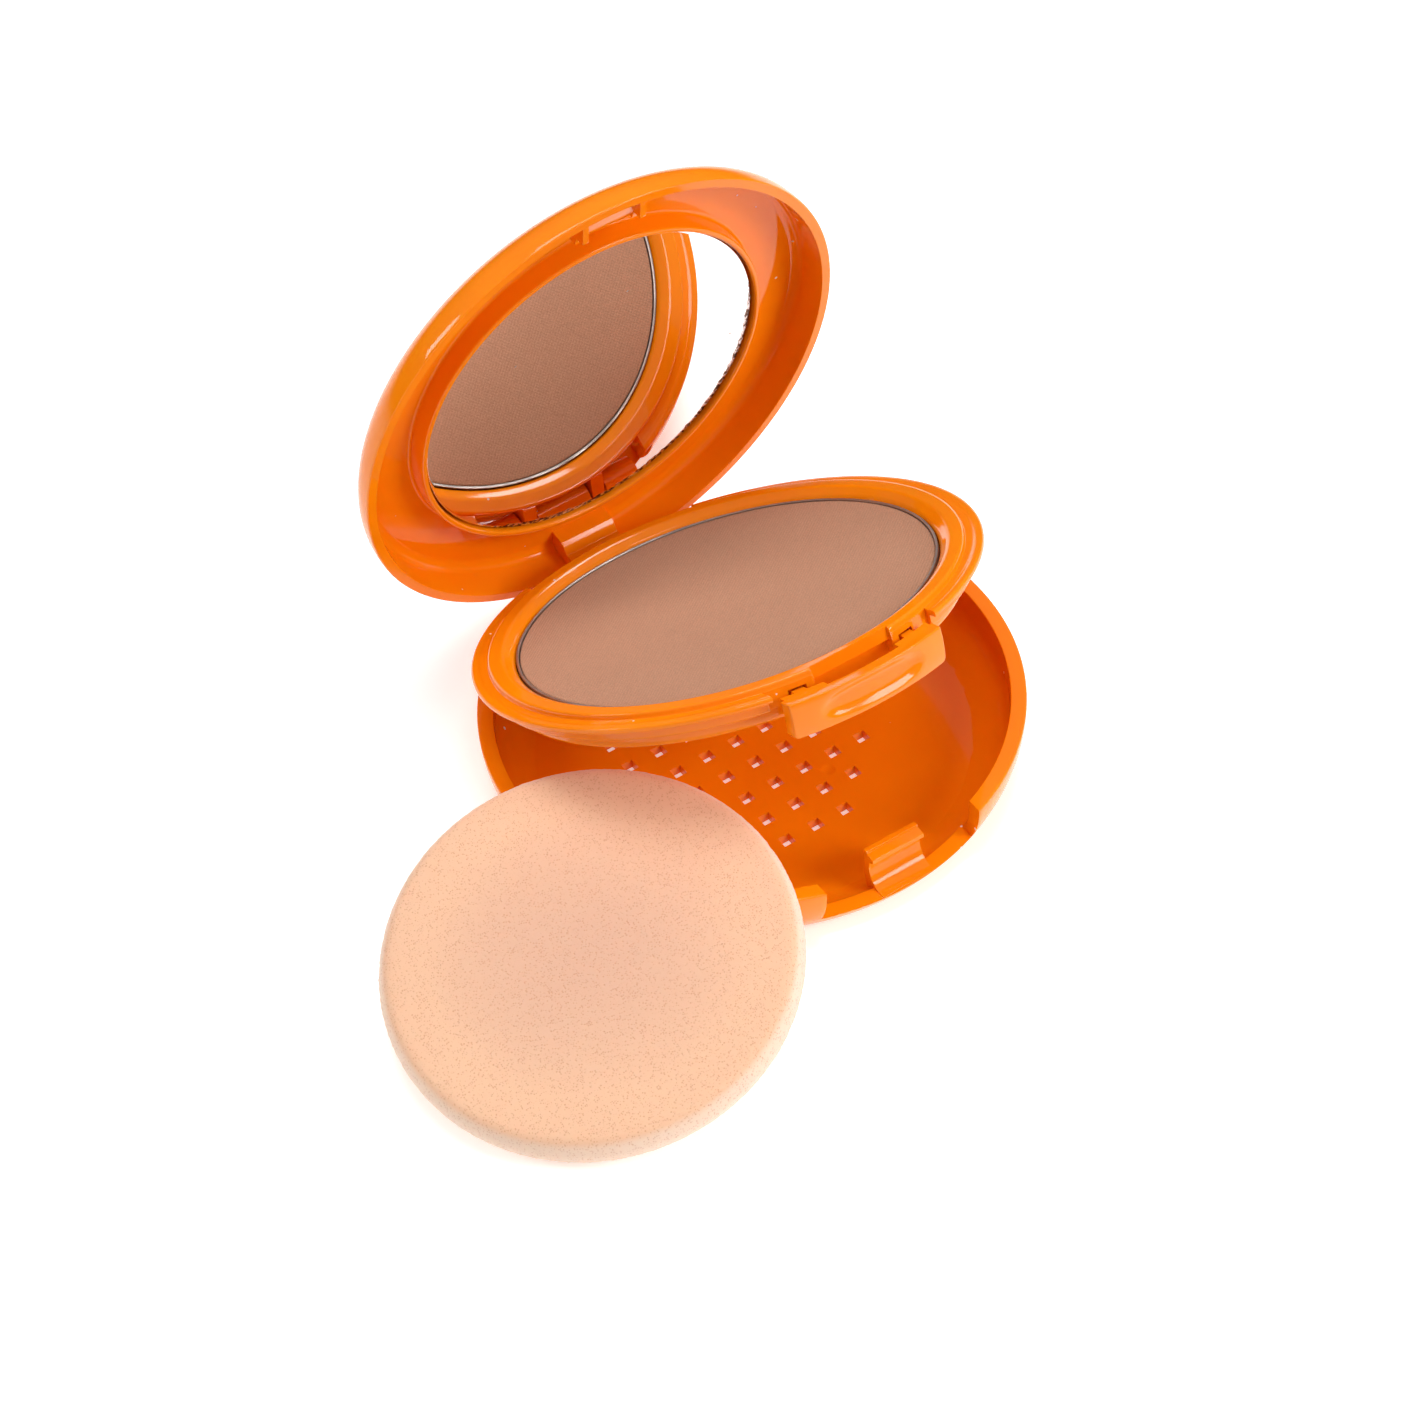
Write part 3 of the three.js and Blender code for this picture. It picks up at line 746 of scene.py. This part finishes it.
def vent_cutters(sizes):
    """Square drafted pegs on a grid, kept inside a circle, by Geometry Nodes."""
    tree = bpy.data.node_groups.new("Vent holes", "GeometryNodeTree")
    values = {
        "Pitch": sizes["vent_pitch"],
        "Side": sizes["vent_side"],
        "Reach": sizes["vent_reach"],
        "Depth": sizes["floor_thickness"] + 2,
    }
    for label in values:
        new_socket(tree, label)
    new_socket(tree, "Material", "Material")
    new_socket(tree, "Geometry", "Geometry", "OUTPUT")

    def add(kind, **inputs):
        inputs = {key.replace("_", " "): value for key, value in inputs.items()}
        return put(tree, kind, inputs, "GeometryNode").outputs[0]

    entry = tree.nodes.new("NodeGroupInput").outputs
    count = 2 * math.floor(sizes["vent_reach"]) + 1
    span = maths(tree, "MULTIPLY", entry["Pitch"], count - 1.0)
    grid = add("MeshGrid", Size_X=span, Size_Y=span, Vertices_X=count, Vertices_Y=count)
    away = put(tree, "VectorMath", {0: add("InputPosition")}, operation="LENGTH")
    limit = maths(tree, "MULTIPLY", entry["Reach"], entry["Pitch"])
    beyond = maths(tree, "GREATER_THAN", away.outputs["Value"], limit)
    kept = add("DeleteGeometry", Geometry=grid, Selection=beyond)
    corner = maths(tree, "MULTIPLY", entry["Side"], math.sqrt(0.5))
    wider = maths(tree, "MULTIPLY", corner, VENT_DRAFT)
    peg = add(
        "MeshCone", Vertices=4, Radius_Top=wider, Radius_Bottom=corner, Depth=entry["Depth"]
    )
    square = add("Transform", Geometry=peg, Rotation=(0, 0, math.radians(45)))
    pegs = add("RealizeInstances", Geometry=add("InstanceOnPoints", Points=kept, Instance=square))
    painted = add("SetMaterial", Geometry=pegs, Material=entry["Material"])
    tree.links.new(painted, tree.nodes.new("NodeGroupOutput").inputs[0])

    made = piece("vent_cutters", bmesh.new())
    pattern = made.modifiers.new("Vent holes", "NODES")
    pattern.node_group = tree
    for item in tree.interface.items_tree:
        if item.item_type == "SOCKET" and item.in_out == "INPUT":
            value = values.get(item.name)
            pattern[item.identifier] = moulded_plastic() if value is None else value
    bake(made)
    made.data.transform(Matrix.Translation(VENT_CENTRE))
    return made


def latch_tongue(sizes):
    """The springy tongue: a hollow front, a catch, and a raised rib on top."""
    back = -(WELL_RADIUS + 1.6)
    foot = -(side_radius(SILL, sizes) - 0.3)
    floor = sizes["floor_thickness"]
    top = 9.0
    hollow = []
    for i in range(13):
        turn = math.radians(90 * i / 12)
        hollow.append((back - 1.15 - 2.6 * (1 - math.cos(turn)), top - 2.6 - 3.1 * math.sin(turn)))
    outline = [
        (foot, floor - 0.3),
        (back - 0.9, floor - 0.3),
        (back - 0.15, SILL + 0.9),
        (back, top - 2),
        (back, top - 0.05),
        (back - 0.75, top),
        (back - 0.8, top - 0.35),
        (back - 2.1, top - 0.6),
        (back - 2.2, top - 1.2),
        (back - 1.3, top - 1.65),
        *hollow,
        (foot, SILL + 0.12),
    ]
    tongue = bar_along_x("tongue", outline, -3.6, 4.7, 0.07)
    heights = [floor - 0.6 + (sizes["base_height"] - floor) * i / 12 for i in range(13)]
    side = [(side_radius(z, sizes) - 0.02, z) for z in heights]
    skin = turned("skin", [(0, heights[0]), *side, (0, heights[-1])], sizes["round_steps"])
    return combine(tongue, skin, "INTERSECT")


def base_barrel(side):
    start, end = (BARREL_START, BARREL_END) if side > 0 else (-BARREL_END, -BARREL_START)
    foot = HINGE_Y - KNUCKLE
    outline = [
        (foot - 1.6, 1.0),
        (HINGE_Y + 0.4, 1.0),
        (HINGE_Y + KNUCKLE, HINGE_Z - 1.4),
        *knuckle_arc(0, 180),
    ]
    barrel = bar_along_x("barrel", outline, start, end, 0.1)
    hole_start, hole_end = (start - 1, end - 0.6) if side > 0 else (start + 0.6, end + 1)
    return cut(barrel, rod("hole", hole_start, hole_end, HOLE_RADIUS))


def gate_mark(floor):
    """The shallow round dimple where the plastic entered the mould."""
    radius, top = 1.2, floor + 1
    dish = [(0, floor - 0.12), (radius * 0.7, floor - 0.1), (radius, floor + 0.05)]
    mark = turned("gate", [*dish, (radius, top), (0, top)], 48)
    mark.data.transform(Matrix.Translation((4.8, -11.1, 0)))
    return mark


def build_base(sizes):
    outside = sizes["case_radius"] + BEYOND
    shell = base_bowl(sizes)
    front = block("front", (-CUTOUT, -outside, SILL), (CUTOUT, -FLOOR_RADIUS, ABOVE))
    back = block("back", (-BACK_NOTCH, 28.2, 2.9), (BACK_NOTCH, outside, ABOVE))
    eased(cut(shell, front, back), EDGE)
    join(shell, latch_tongue(sizes), base_barrel(1), base_barrel(-1))
    return finished(cut(shell, vent_cutters(sizes), gate_mark(sizes["floor_thickness"])))


def build_pin():
    end = BARREL_END - 0.9
    pin = rod("hinge_pin_visual", -end, end, PIN_RADIUS, 48)
    return finished(eased(pin, 0.12))


# --- Tray ----------------------------------------------------------------
def tray_dish(sizes):
    edge = sizes["flange_radius"]
    crest = FLANGE_TOP + 0.75
    corners = [
        (0, TRAY_BOTTOM),
        (32.4, TRAY_BOTTOM, 1.3),
        (32.4, FLANGE_BOTTOM - 1.9, 0.1),
        (34.2, FLANGE_BOTTOM - 1.8, 0.35),
        (34.25, FLANGE_BOTTOM, 0.12),
        (edge, FLANGE_BOTTOM, 0.4),
        (edge, FLANGE_TOP, 0.4),
        (edge - 1.0, FLANGE_TOP + 0.02, 0.3),
        (edge - 1.5, FLANGE_TOP - 0.12, 0.3),
        (RING_RADIUS + 0.05, FLANGE_TOP - 0.12, 0.1),
        (RING_RADIUS - 0.1, crest, 0.4),
        (RING_RADIUS - 2.2, crest, 0.45),
        (WELL_RADIUS + 0.35, FLANGE_TOP - 0.15, 0.3),
        (WELL_RADIUS, FLANGE_TOP - 0.7, 0.15),
        (WELL_RADIUS, WELL_FLOOR),
        (0, WELL_FLOOR),
    ]
    return turned("tray_visual", softened(corners, 6), sizes["round_steps"])


def edge_cut(name, half_width, radius, towards, sizes):
    """A slab whose inner side is round, taken off the tray's edge."""
    reach = sizes["case_radius"] + BEYOND
    near, far = (0, reach) if towards > 0 else (-reach, 0)
    slab = block(name, (-half_width, near, 0), (half_width, far, ABOVE))
    return cut(slab, disc("round", radius, -1, ABOVE + 1, sizes["round_steps"]))


def tray_arm(side):
    start = ARM_START if side > 0 else -ARM_END
    root = WELL_RADIUS + 0.6
    outline = [
        (root, TRAY_BOTTOM + 0.6),
        *knuckle_arc(250, 380),
        (RING_RADIUS - 0.3, FLANGE_BOTTOM + 0.1),
        (root, FLANGE_BOTTOM + 0.1),
    ]
    end = start + ARM_WIDTH
    arm = bar_along_x("arm", outline, start, end)
    return cut(arm, rod("hole", start - 1, end + 1, HOLE_RADIUS))


def build_tray(sizes):
    outside = sizes["case_radius"] + BEYOND
    dish = tray_dish(sizes)
    behind = HINGE_Y - KNUCKLE - 0.6
    wide = BARREL_END + 1.2
    corner = (-TONGUE_ROOM, -outside, 0)
    cut(
        dish,
        edge_cut("front_edge", CUTOUT + 0.4, RING_RADIUS + 0.1, -1, sizes),
        edge_cut("back_edge", wide, RING_RADIUS, 1, sizes),
        block("hinge_room", (-wide, behind, 0), (wide, outside, FLANGE_BOTTOM)),
        block("tongue_room", corner, (TONGUE_ROOM, -31, FLANGE_BOTTOM - 0.2)),
        block("ring_step", corner, (TONGUE_ROOM, -RING_RADIUS + 1.15, ABOVE)),
    )
    for start, end in ((-9.7, -7.3), (7.3, 9.7)):
        low = (start, -outside, FLANGE_BOTTOM - 1.6)
        cut(dish, block("slot", low, (end, -WELL_RADIUS - 1.1, FLANGE_BOTTOM - 0.1)))
    join(eased(dish, EDGE), tray_arm(1), tray_arm(-1))
    return finished(swing(dish, TRAY_OPEN))


def build_pan(sizes):
    radius, wall, top = sizes["pan_radius"], 0.4, PAN_BOTTOM + 2.95
    corners = [
        (0, PAN_BOTTOM),
        (radius, PAN_BOTTOM, 0.5),
        (radius, top, 0.14),
        (radius - wall, top, 0.14),
        (radius - wall, PAN_BOTTOM + wall, 0.3),
        (0, PAN_BOTTOM + wall),
    ]
    pan = turned("powder_pan_visual", softened(corners), sizes["round_steps"])
    return finished(swing(pan, TRAY_OPEN))


def build_pan_pad(sizes):
    pad = disc("pan_adhesive_visual", 24, WELL_FLOOR + 0.25, WELL_FLOOR + 0.5, 96)
    return finished(swing(eased(pad, PAD_EDGE), TRAY_OPEN))


def surface_map(made):
    """A UV map in millimetres across the piece, as it is drawn."""
    layer = made.data.uv_layers.new(name="Surface")
    for loop in made.data.loops:
        point = made.data.vertices[loop.vertex_index].co
        layer.data[loop.index].uv = (point.x, point.y)


def share_between(value, low, high):
    return min(1, max(0, (value - low) / (high - low)))


def point_values(made, name, measure):
    """An attribute that the material reads, measured at each point."""
    layer = made.data.attributes.new(name, "FLOAT", "POINT")
    for i, vertex in enumerate(made.data.vertices):
        layer.data[i].value = measure(vertex.co)


def build_powder(sizes):
    low = PAN_BOTTOM + 0.65
    top = low + 2.2
    radius = sizes["powder_radius"] + 0.12
    rings = [(radius * i / 24, top - 0.05 + 0.05 * (1 - (i / 24) ** 2)) for i in range(23, -1, -1)]
    corners = [(0, low), (radius, low, 0.2), (radius, top - 0.06, 0.3), *rings]
    cake = turned("pressed_powder_visual", softened(corners), sizes["round_steps"])
    surface_map(cake)
    return finished(swing(cake, TRAY_OPEN))


# --- Push button ---------------------------------------------------------
def button_plate(sizes):
    half, foot, top = sizes["button_width"] / 2, 4.1, sizes["base_height"] - BUTTON_DROP
    corner, thickness = 0.6, 2.0
    columns, rows = 64, 18

    def lowest(x):
        past = max(0.0, abs(x) - (half - corner))
        return foot + corner - math.sqrt(max(0.0, corner**2 - past**2))

    def hollow(x, z):
        across = x / 8.4
        up = (z - (foot + top) / 2 - 0.15) / 2.35
        inside = max(0.0, 1 - across**4 - up**2)
        return 0.9 * inside * inside * (3 - 2 * inside)

    bm = bmesh.new()
    front, back = [], []
    for i in range(columns + 1):
        x = -half * math.cos(math.pi * i / columns) * 0.35 + half * (2 * i / columns - 1) * 0.65
        low = lowest(x)
        front.append([])
        back.append([])
        for j in range(rows + 1):
            z = low + (top - low) * j / rows
            outer = side_radius(z, sizes)
            y = -math.sqrt(outer**2 - x**2) + hollow(x, z)
            front[i].append(bm.verts.new((x, y, z)))
            back[i].append(bm.verts.new((x, -math.sqrt((outer - thickness) ** 2 - x**2), z)))
    for i in range(columns):
        for j in range(rows):
            bm.faces.new((front[i][j], front[i + 1][j], front[i + 1][j + 1], front[i][j + 1]))
            bm.faces.new((back[i][j], back[i][j + 1], back[i + 1][j + 1], back[i + 1][j]))
        bm.faces.new((front[i][0], back[i][0], back[i + 1][0], front[i + 1][0]))
        bm.faces.new((front[i][-1], front[i + 1][-1], back[i + 1][-1], back[i][-1]))
    for j in range(rows):
        bm.faces.new((front[0][j], front[0][j + 1], back[0][j + 1], back[0][j]))
        bm.faces.new((front[-1][j], back[-1][j], back[-1][j + 1], front[-1][j + 1]))
    bmesh.ops.recalc_face_normals(bm, faces=bm.faces)
    round_off(bm, sharp_edges(bm), 0.16, 3)
    return piece("push_button_visual", bm)


def button_pad(side, sizes):
    """A plain pad on the button's back, beside the tray's ring."""
    top = sizes["base_height"] - BUTTON_DROP
    inner = RING_RADIUS + 1.2
    corners = [
        (inner, top - 1.6),
        (side_radius(top - 1.6, sizes) - 1, top - 1.6),
        (side_radius(top, sizes) - 1, top),
        (inner, top),
        (inner, top - 1.6),
    ]
    band = turned("pad", corners, sizes["round_steps"])
    start, end = (5.6, 11.4) if side > 0 else (-11.4, -5.6)
    window = block("window", (start, -40, 0), (end, 0, ABOVE))
    return combine(band, window, "INTERSECT")


def build_button(sizes):
    plate = button_plate(sizes)
    back = -WELL_RADIUS - 2.2
    low, high = FLANGE_BOTTOM - 1.3, FLANGE_BOTTOM - 0.4
    front = -sizes["case_radius"] + 2.4
    for side in (-1, 1):
        start, end = (7.6, 9.4) if side > 0 else (-9.4, -7.6)
        tab = block("tab", (start, front, low), (end, back, high), 0.08)
        join(plate, button_pad(side, sizes), tab)
    return finished(swing(plate, TRAY_OPEN))


# --- Lid -----------------------------------------------------------------
def lid_side(sizes):
    """Outer side of the lid, from the rim up."""
    steps, points = 20, []
    for i in range(steps + 1):
        share = i / steps
        z = LID_RIM + 0.45 + (sizes["lid_height"] - 0.95) * share
        points.append((sizes["case_radius"] + 0.08 - 4.4 * share**2.6, z))
    return points


def lid_bowl(sizes):
    top = LID_RIM + sizes["lid_height"]
    ceiling = top - LID_WALL
    inner = sizes["flange_radius"] + 0.3
    drum = 27.4
    crest = LID_RIM + 2.4
    channel = []
    for i in range(15):
        turn = math.radians(90) * i / 14
        channel.append((inner - 1.9 + 1.6 * math.sin(turn), ceiling - 1.6 * (1 - math.cos(turn))))
    corners = [
        (0, ceiling),
        (drum - 0.8, ceiling, 0.1),
        (drum - 0.8, crest, 0.35),
        (drum, crest, 0.4),
        (drum + 0.25, ceiling, 0.5),
        *channel,
        (inner, LID_RIM, 0.12),
        (sizes["case_radius"] + 0.05, LID_RIM, 0.4),
        *lid_side(sizes),
        (sizes["case_radius"] - 5.2, top - 0.28, 0.8),
        (sizes["case_radius"] - 11, top - 0.02, 3),
        (0, top + 0.15),
    ]
    return turned("lid_shell_visual", softened(corners, 6), sizes["round_steps"])


def lid_knuckle(sizes):
    ceiling = LID_RIM + sizes["lid_height"] - LID_WALL
    front = RING_RADIUS + 0.3
    outline = [
        (front - 1.4, ceiling + 0.3),
        (front - 1.4, LID_RIM + 3.1),
        (front, LID_RIM + 1.6),
        (front, HINGE_Z + KNUCKLE + 0.1),
        *knuckle_arc(150, 360, 24),
        (HINGE_Y + KNUCKLE - 0.3, LID_RIM + 0.4),
        (HINGE_Y + 1.6, ceiling - 1.4),
        (HINGE_Y - 0.4, ceiling + 0.3),
    ]
    half = LID_KNUCKLE_HALF
    knuckle = bar_along_x("knuckle", outline, -half, half, 0.1)
    dimple = turned("dimple", [(0, -0.14), (0.4, -0.12), (0.6, 0), (0.6, 1), (0, 1)], 40)
    dimple.data.transform(Matrix.Rotation(math.radians(90), 4, "X"))
    dimple.data.transform(Matrix.Translation((1.2, front, LID_RIM + 0.7)))
    return cut(knuckle, rod("hole", -half - 1, half + 1, HOLE_RADIUS), dimple)


def latch_pocket(sizes):
    """Two ribs with a sloping face between them, kept inside the lid's outline."""
    ceiling = LID_RIM + sizes["lid_height"] - 1.4
    outer, step, inner = -(sizes["flange_radius"] + 0.7), -RING_RADIUS + 0.9, -30.8
    low, clear = LID_RIM + 0.4, FLANGE_TOP + 1.05
    left, right, thick = -3.9, 5.9, 0.9

    def rib(start):
        outline = [(outer, ceiling), (outer, low), (step, low), (step + 0.2, clear)]
        outline += [(inner, clear + 0.3), (inner, ceiling)]
        return bar_along_x("rib", outline, start, start + thick, 0.06)

    face = [(outer, ceiling), (outer, low + 0.7), (step, clear), (inner, clear + 0.9)]
    face.append((inner, ceiling))
    ribs = rib(left)
    start, end = left + thick / 2, right - thick / 2
    join(ribs, rib(right - thick), bar_along_x("face", face, start, end))
    outline = turned("outline", [(0, LID_RIM), *lid_side(sizes), (0, LID_RIM + 6.4)], 96)
    return combine(ribs, outline, "INTERSECT")


def build_lid(sizes):
    shell = lid_bowl(sizes)
    join(shell, lid_knuckle(sizes), latch_pocket(sizes))
    return finished(swing(shell, LID_OPEN))


def mirror_back(sizes):
    return LID_RIM + sizes["lid_height"] - 2.45


def build_mirror(sizes):
    back = mirror_back(sizes)
    front, radius, edge = back - 1.6, sizes["mirror_radius"], 1.6
    corners = [
        (0, front),
        *((radius - edge * share, front) for share in (1, 0.75, 0.5, 0.25)),
        (radius, front, 0.15),
        (radius, back, 0.15),
        (0, back),
    ]
    glass = turned("mirror_visual", softened(corners), sizes["round_steps"])
    point_values(glass, "rim", lambda co: share_between(co.xy.length, radius - edge, radius))
    point_values(glass, "low side", lambda co: (co.y + co.x * 0.6) / radius)
    return finished(swing(glass, LID_OPEN))


def build_mirror_pad(sizes):
    low = mirror_back(sizes) + 0.25
    pad = disc("mirror_adhesive_visual", 22, low, low + 0.25, 96)
    return finished(swing(eased(pad, PAD_EDGE), LID_OPEN))


# --- Sponge --------------------------------------------------------------
def build_sponge(sizes):
    """A soft disc with a cut edge that is a little ragged."""
    radius, half = sizes["sponge_radius"] - 0.1, sizes["sponge_thickness"] / 2 - 0.08
    steps, edge, rim = 420, 1.9, 1.6
    face = [radius * (1 - (1 - i / 30) ** 1.35) for i in range(31)]
    face = [r for r in face if r < radius - edge]
    side = []
    for i in range(15):
        turn = math.radians(-90 + 180 * i / 14)
        up = math.sin(turn)
        side.append((radius - edge + edge * math.cos(turn), half * up * (1 - 0.12 * (1 - up * up))))
    low = [(r, -half - 0.06 * (1 - (r / radius) ** 2)) for r in face]
    high = [(r, half + 0.06 * (1 - (r / radius) ** 2)) for r in reversed(face)]
    puff = turned("sponge_visual", [*low, *side, *high], steps)
    noise.seed_set(7)
    point_values(puff, "rim", lambda co: share_between(co.xy.length, radius - rim, radius))
    point_values(puff, "worn", lambda co: max(0, 1 - (co.xy.length / (0.75 * radius)) ** 2))
    for vertex in puff.data.vertices:
        point = vertex.co.copy()
        away = point.xy.length
        near = share_between(away, radius - rim, radius)
        ragged = noise.noise(point * 3.1) * 0.1 + noise.noise(point * 0.9) * 0.06
        broad = noise.noise(point * 0.09) * 0.05
        outward = Vector((point.x, point.y, 0)).normalized() if away > 1 else Vector()
        vertex.co = point + outward * ragged * near
        vertex.co.z += (broad + noise.noise(point * 1.7) * 0.012) * (1 - 0.6 * near)
    lean, lean_to = math.radians(SPONGE_LEAN), math.radians(SPONGE_HEADING)
    flat = math.sin(lean)
    up = Vector((flat * math.cos(lean_to), flat * math.sin(lean_to), math.cos(lean)))
    turn = Vector((0, 0, 1)).rotation_difference(up).to_matrix().to_4x4()
    puff.data.transform(Matrix.Translation(middle_of("sponge") / MM) @ turn)
    return finished(puff, angle=80)


# --- Stage ---------------------------------------------------------------
def soft_box(name, place, size, power):
    data = bpy.data.lights.new(name, "AREA")
    data.shape = "RECTANGLE"
    data.size, data.size_y = size
    data.energy = power
    lamp = bpy.data.objects.new(name, data)
    lamp.location = place
    aim = Vector((0, 0, 0.02)) - Vector(place)
    lamp.rotation_euler = aim.to_track_quat("-Z", "Y").to_euler()
    bpy.context.scene.collection.objects.link(lamp)


def build_camera():
    right = Vector((0.827, -0.5603, -0.046)).normalized()
    back = Vector((-0.3594, -0.590, 0.723)).normalized()
    up = back.cross(right).normalized()
    right = up.cross(back)
    turn = Matrix((right, up, back)).transposed().to_4x4()
    data = bpy.data.cameras.new("Camera")
    data.sensor_width = 36
    data.lens = 111.28
    data.clip_start, data.clip_end = 0.01, 10
    camera = bpy.data.objects.new("Camera", data)
    camera.matrix_world = Matrix.Translation((-0.2187, -0.3463, 0.4375)) @ turn
    bpy.context.scene.collection.objects.link(camera)
    bpy.context.scene.camera = camera


def build_floor():
    bm = bmesh.new()
    bmesh.ops.create_grid(bm, x_segments=24, y_segments=24, size=1.6)
    floor = piece("floor", bm)
    floor.data.materials.append(table_top())


def build_light():
    world = bpy.data.worlds.new("Studio")
    world.use_nodes = True
    tree = world.node_tree
    sky = tree.nodes["Background"]
    sky.inputs["Color"].default_value = (1.0, 1.0, 1.0, 1.0)
    towards = put(tree, "SeparateXYZ", {0: put(tree, "TexCoord").outputs["Generated"]})
    strength = ramp(tree, towards.outputs["Z"], 0.0, 0.9, 0.05, 0.5)
    tree.links.new(strength, sky.inputs["Strength"])
    bpy.context.scene.world = world
    bpy.context.scene.view_settings.view_transform = "Standard"
    soft_box("Overhead", (0.05, 0.1, 0.9), (0.5, 0.35), 4.2)
    soft_box("Key", (0.42, -0.56, 0.46), (0.34, 0.3), 4.0)
    soft_box("Rim light", (-0.6, 0.35, 0.45), (0.16, 0.24), 1.2)


# --- Operators -----------------------------------------------------------
class CompactOperator:
    bl_options = {"REGISTER", "UNDO"}


class COMPACT_OT_stage(CompactOperator, bpy.types.Operator):
    """Set the camera, the floor and the soft studio light"""

    bl_idname = "compact.stage"
    bl_label = "Stage"

    def execute(self, context):
        build_camera()
        build_floor()
        build_light()
        return {"FINISHED"}


class COMPACT_OT_base(CompactOperator, bpy.types.Operator):
    """Build the base: vented bowl, sill, latch tongue and hinge barrels"""

    bl_idname = "compact.base"
    bl_label = "Base"

    def execute(self, context):
        shell = build_base(millimetres())
        dress(shell, moulded_plastic(), "base", "shell_plastic", "base_shell")
        return {"FINISHED"}


class COMPACT_OT_pin(CompactOperator, bpy.types.Operator):
    """Build the wire that the hinge turns on"""

    bl_idname = "compact.pin"
    bl_label = "Hinge Pin"

    def execute(self, context):
        dress(build_pin(), drawn_steel(), "base", "pin_steel", "hinge_pin")
        return {"FINISHED"}


class COMPACT_OT_tray(CompactOperator, bpy.types.Operator):
    """Build the tray that carries the powder"""

    bl_idname = "compact.tray"
    bl_label = "Tray"

    def execute(self, context):
        dress(build_tray(millimetres()), moulded_plastic(), "tray", "shell_plastic", "tray")
        return {"FINISHED"}


class COMPACT_OT_powder(CompactOperator, bpy.types.Operator):
    """Build the metal pan, its adhesive and the pressed powder"""

    bl_idname = "compact.powder"
    bl_label = "Powder and Pan"

    def execute(self, context):
        sizes = millimetres()
        dress(build_pan_pad(sizes), adhesive_film(), "tray", "adhesive_pad", "pan_adhesive")
        dress(build_pan(sizes), pressed_tin(), "tray", "pan_metal", "powder_pan")
        dress(build_powder(sizes), pressed_talc(), "tray", "pressed_powder", "pressed_powder")
        return {"FINISHED"}


class COMPACT_OT_button(CompactOperator, bpy.types.Operator):
    """Build the push button with its thumb hollow"""

    bl_idname = "compact.button"
    bl_label = "Push Button"

    def execute(self, context):
        button = build_button(millimetres())
        dress(button, moulded_plastic(), "button", "shell_plastic", "push_button")
        return {"FINISHED"}


class COMPACT_OT_lid(CompactOperator, bpy.types.Operator):
    """Build the lid with its mirror ring, hinge knuckle and latch pocket"""

    bl_idname = "compact.lid"
    bl_label = "Lid"

    def execute(self, context):
        dress(build_lid(millimetres()), moulded_plastic(), "lid", "shell_plastic", "lid_shell")
        return {"FINISHED"}


class COMPACT_OT_mirror(CompactOperator, bpy.types.Operator):
    """Build the mirror and the adhesive behind it"""

    bl_idname = "compact.mirror"
    bl_label = "Mirror"

    def execute(self, context):
        sizes = millimetres()
        dress(build_mirror_pad(sizes), adhesive_film(), "lid", "adhesive_pad", "mirror_adhesive")
        dress(build_mirror(sizes), silvered_glass(), "lid", "mirror_glass", "mirror")
        return {"FINISHED"}


class COMPACT_OT_sponge(CompactOperator, bpy.types.Operator):
    """Build the latex sponge that leans on the base's rim"""

    bl_idname = "compact.sponge"
    bl_label = "Sponge"

    def execute(self, context):
        sponge = build_sponge(millimetres())
        dress(sponge, latex_foam(), "sponge", "latex_sponge", "sponge")
        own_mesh(sponge)
        return {"FINISHED"}


class COMPACT_PT_panel(bpy.types.Panel):
    """Sizes, colours and pieces of the compact"""

    bl_idname = "COMPACT_PT_panel"
    bl_label = "Powder Compact"
    bl_space_type = "VIEW_3D"
    bl_region_type = "UI"
    bl_category = "Compact"

    def draw(self, context):
        layout = self.layout
        for group in (context.scene.compact_sizes, context.scene.compact_colours):
            box = layout.box()
            for key in keys_of(group):
                box.prop(group, key)
        for operator in OPERATORS:
            layout.operator(operator.bl_idname)


OPERATORS = (
    COMPACT_OT_stage,
    COMPACT_OT_base,
    COMPACT_OT_pin,
    COMPACT_OT_tray,
    COMPACT_OT_powder,
    COMPACT_OT_button,
    COMPACT_OT_lid,
    COMPACT_OT_mirror,
    COMPACT_OT_sponge,
)
CLASSES = (CompactSizes, CompactColours, *OPERATORS, COMPACT_PT_panel)


def register():
    for one in CLASSES:
        bpy.utils.register_class(one)
    bpy.types.Scene.compact_sizes = PointerProperty(type=CompactSizes)
    bpy.types.Scene.compact_colours = PointerProperty(type=CompactColours)


def unregister():
    del bpy.types.Scene.compact_colours
    del bpy.types.Scene.compact_sizes
    for one in reversed(CLASSES):
        bpy.utils.unregister_class(one)


def main():
    register()
    bpy.ops.compact.stage()
    bpy.ops.compact.base()
    bpy.ops.compact.pin()
    bpy.ops.compact.tray()
    bpy.ops.compact.powder()
    bpy.ops.compact.button()
    bpy.ops.compact.lid()
    bpy.ops.compact.mirror()
    bpy.ops.compact.sponge()


if __name__ == "__main__":
    main()
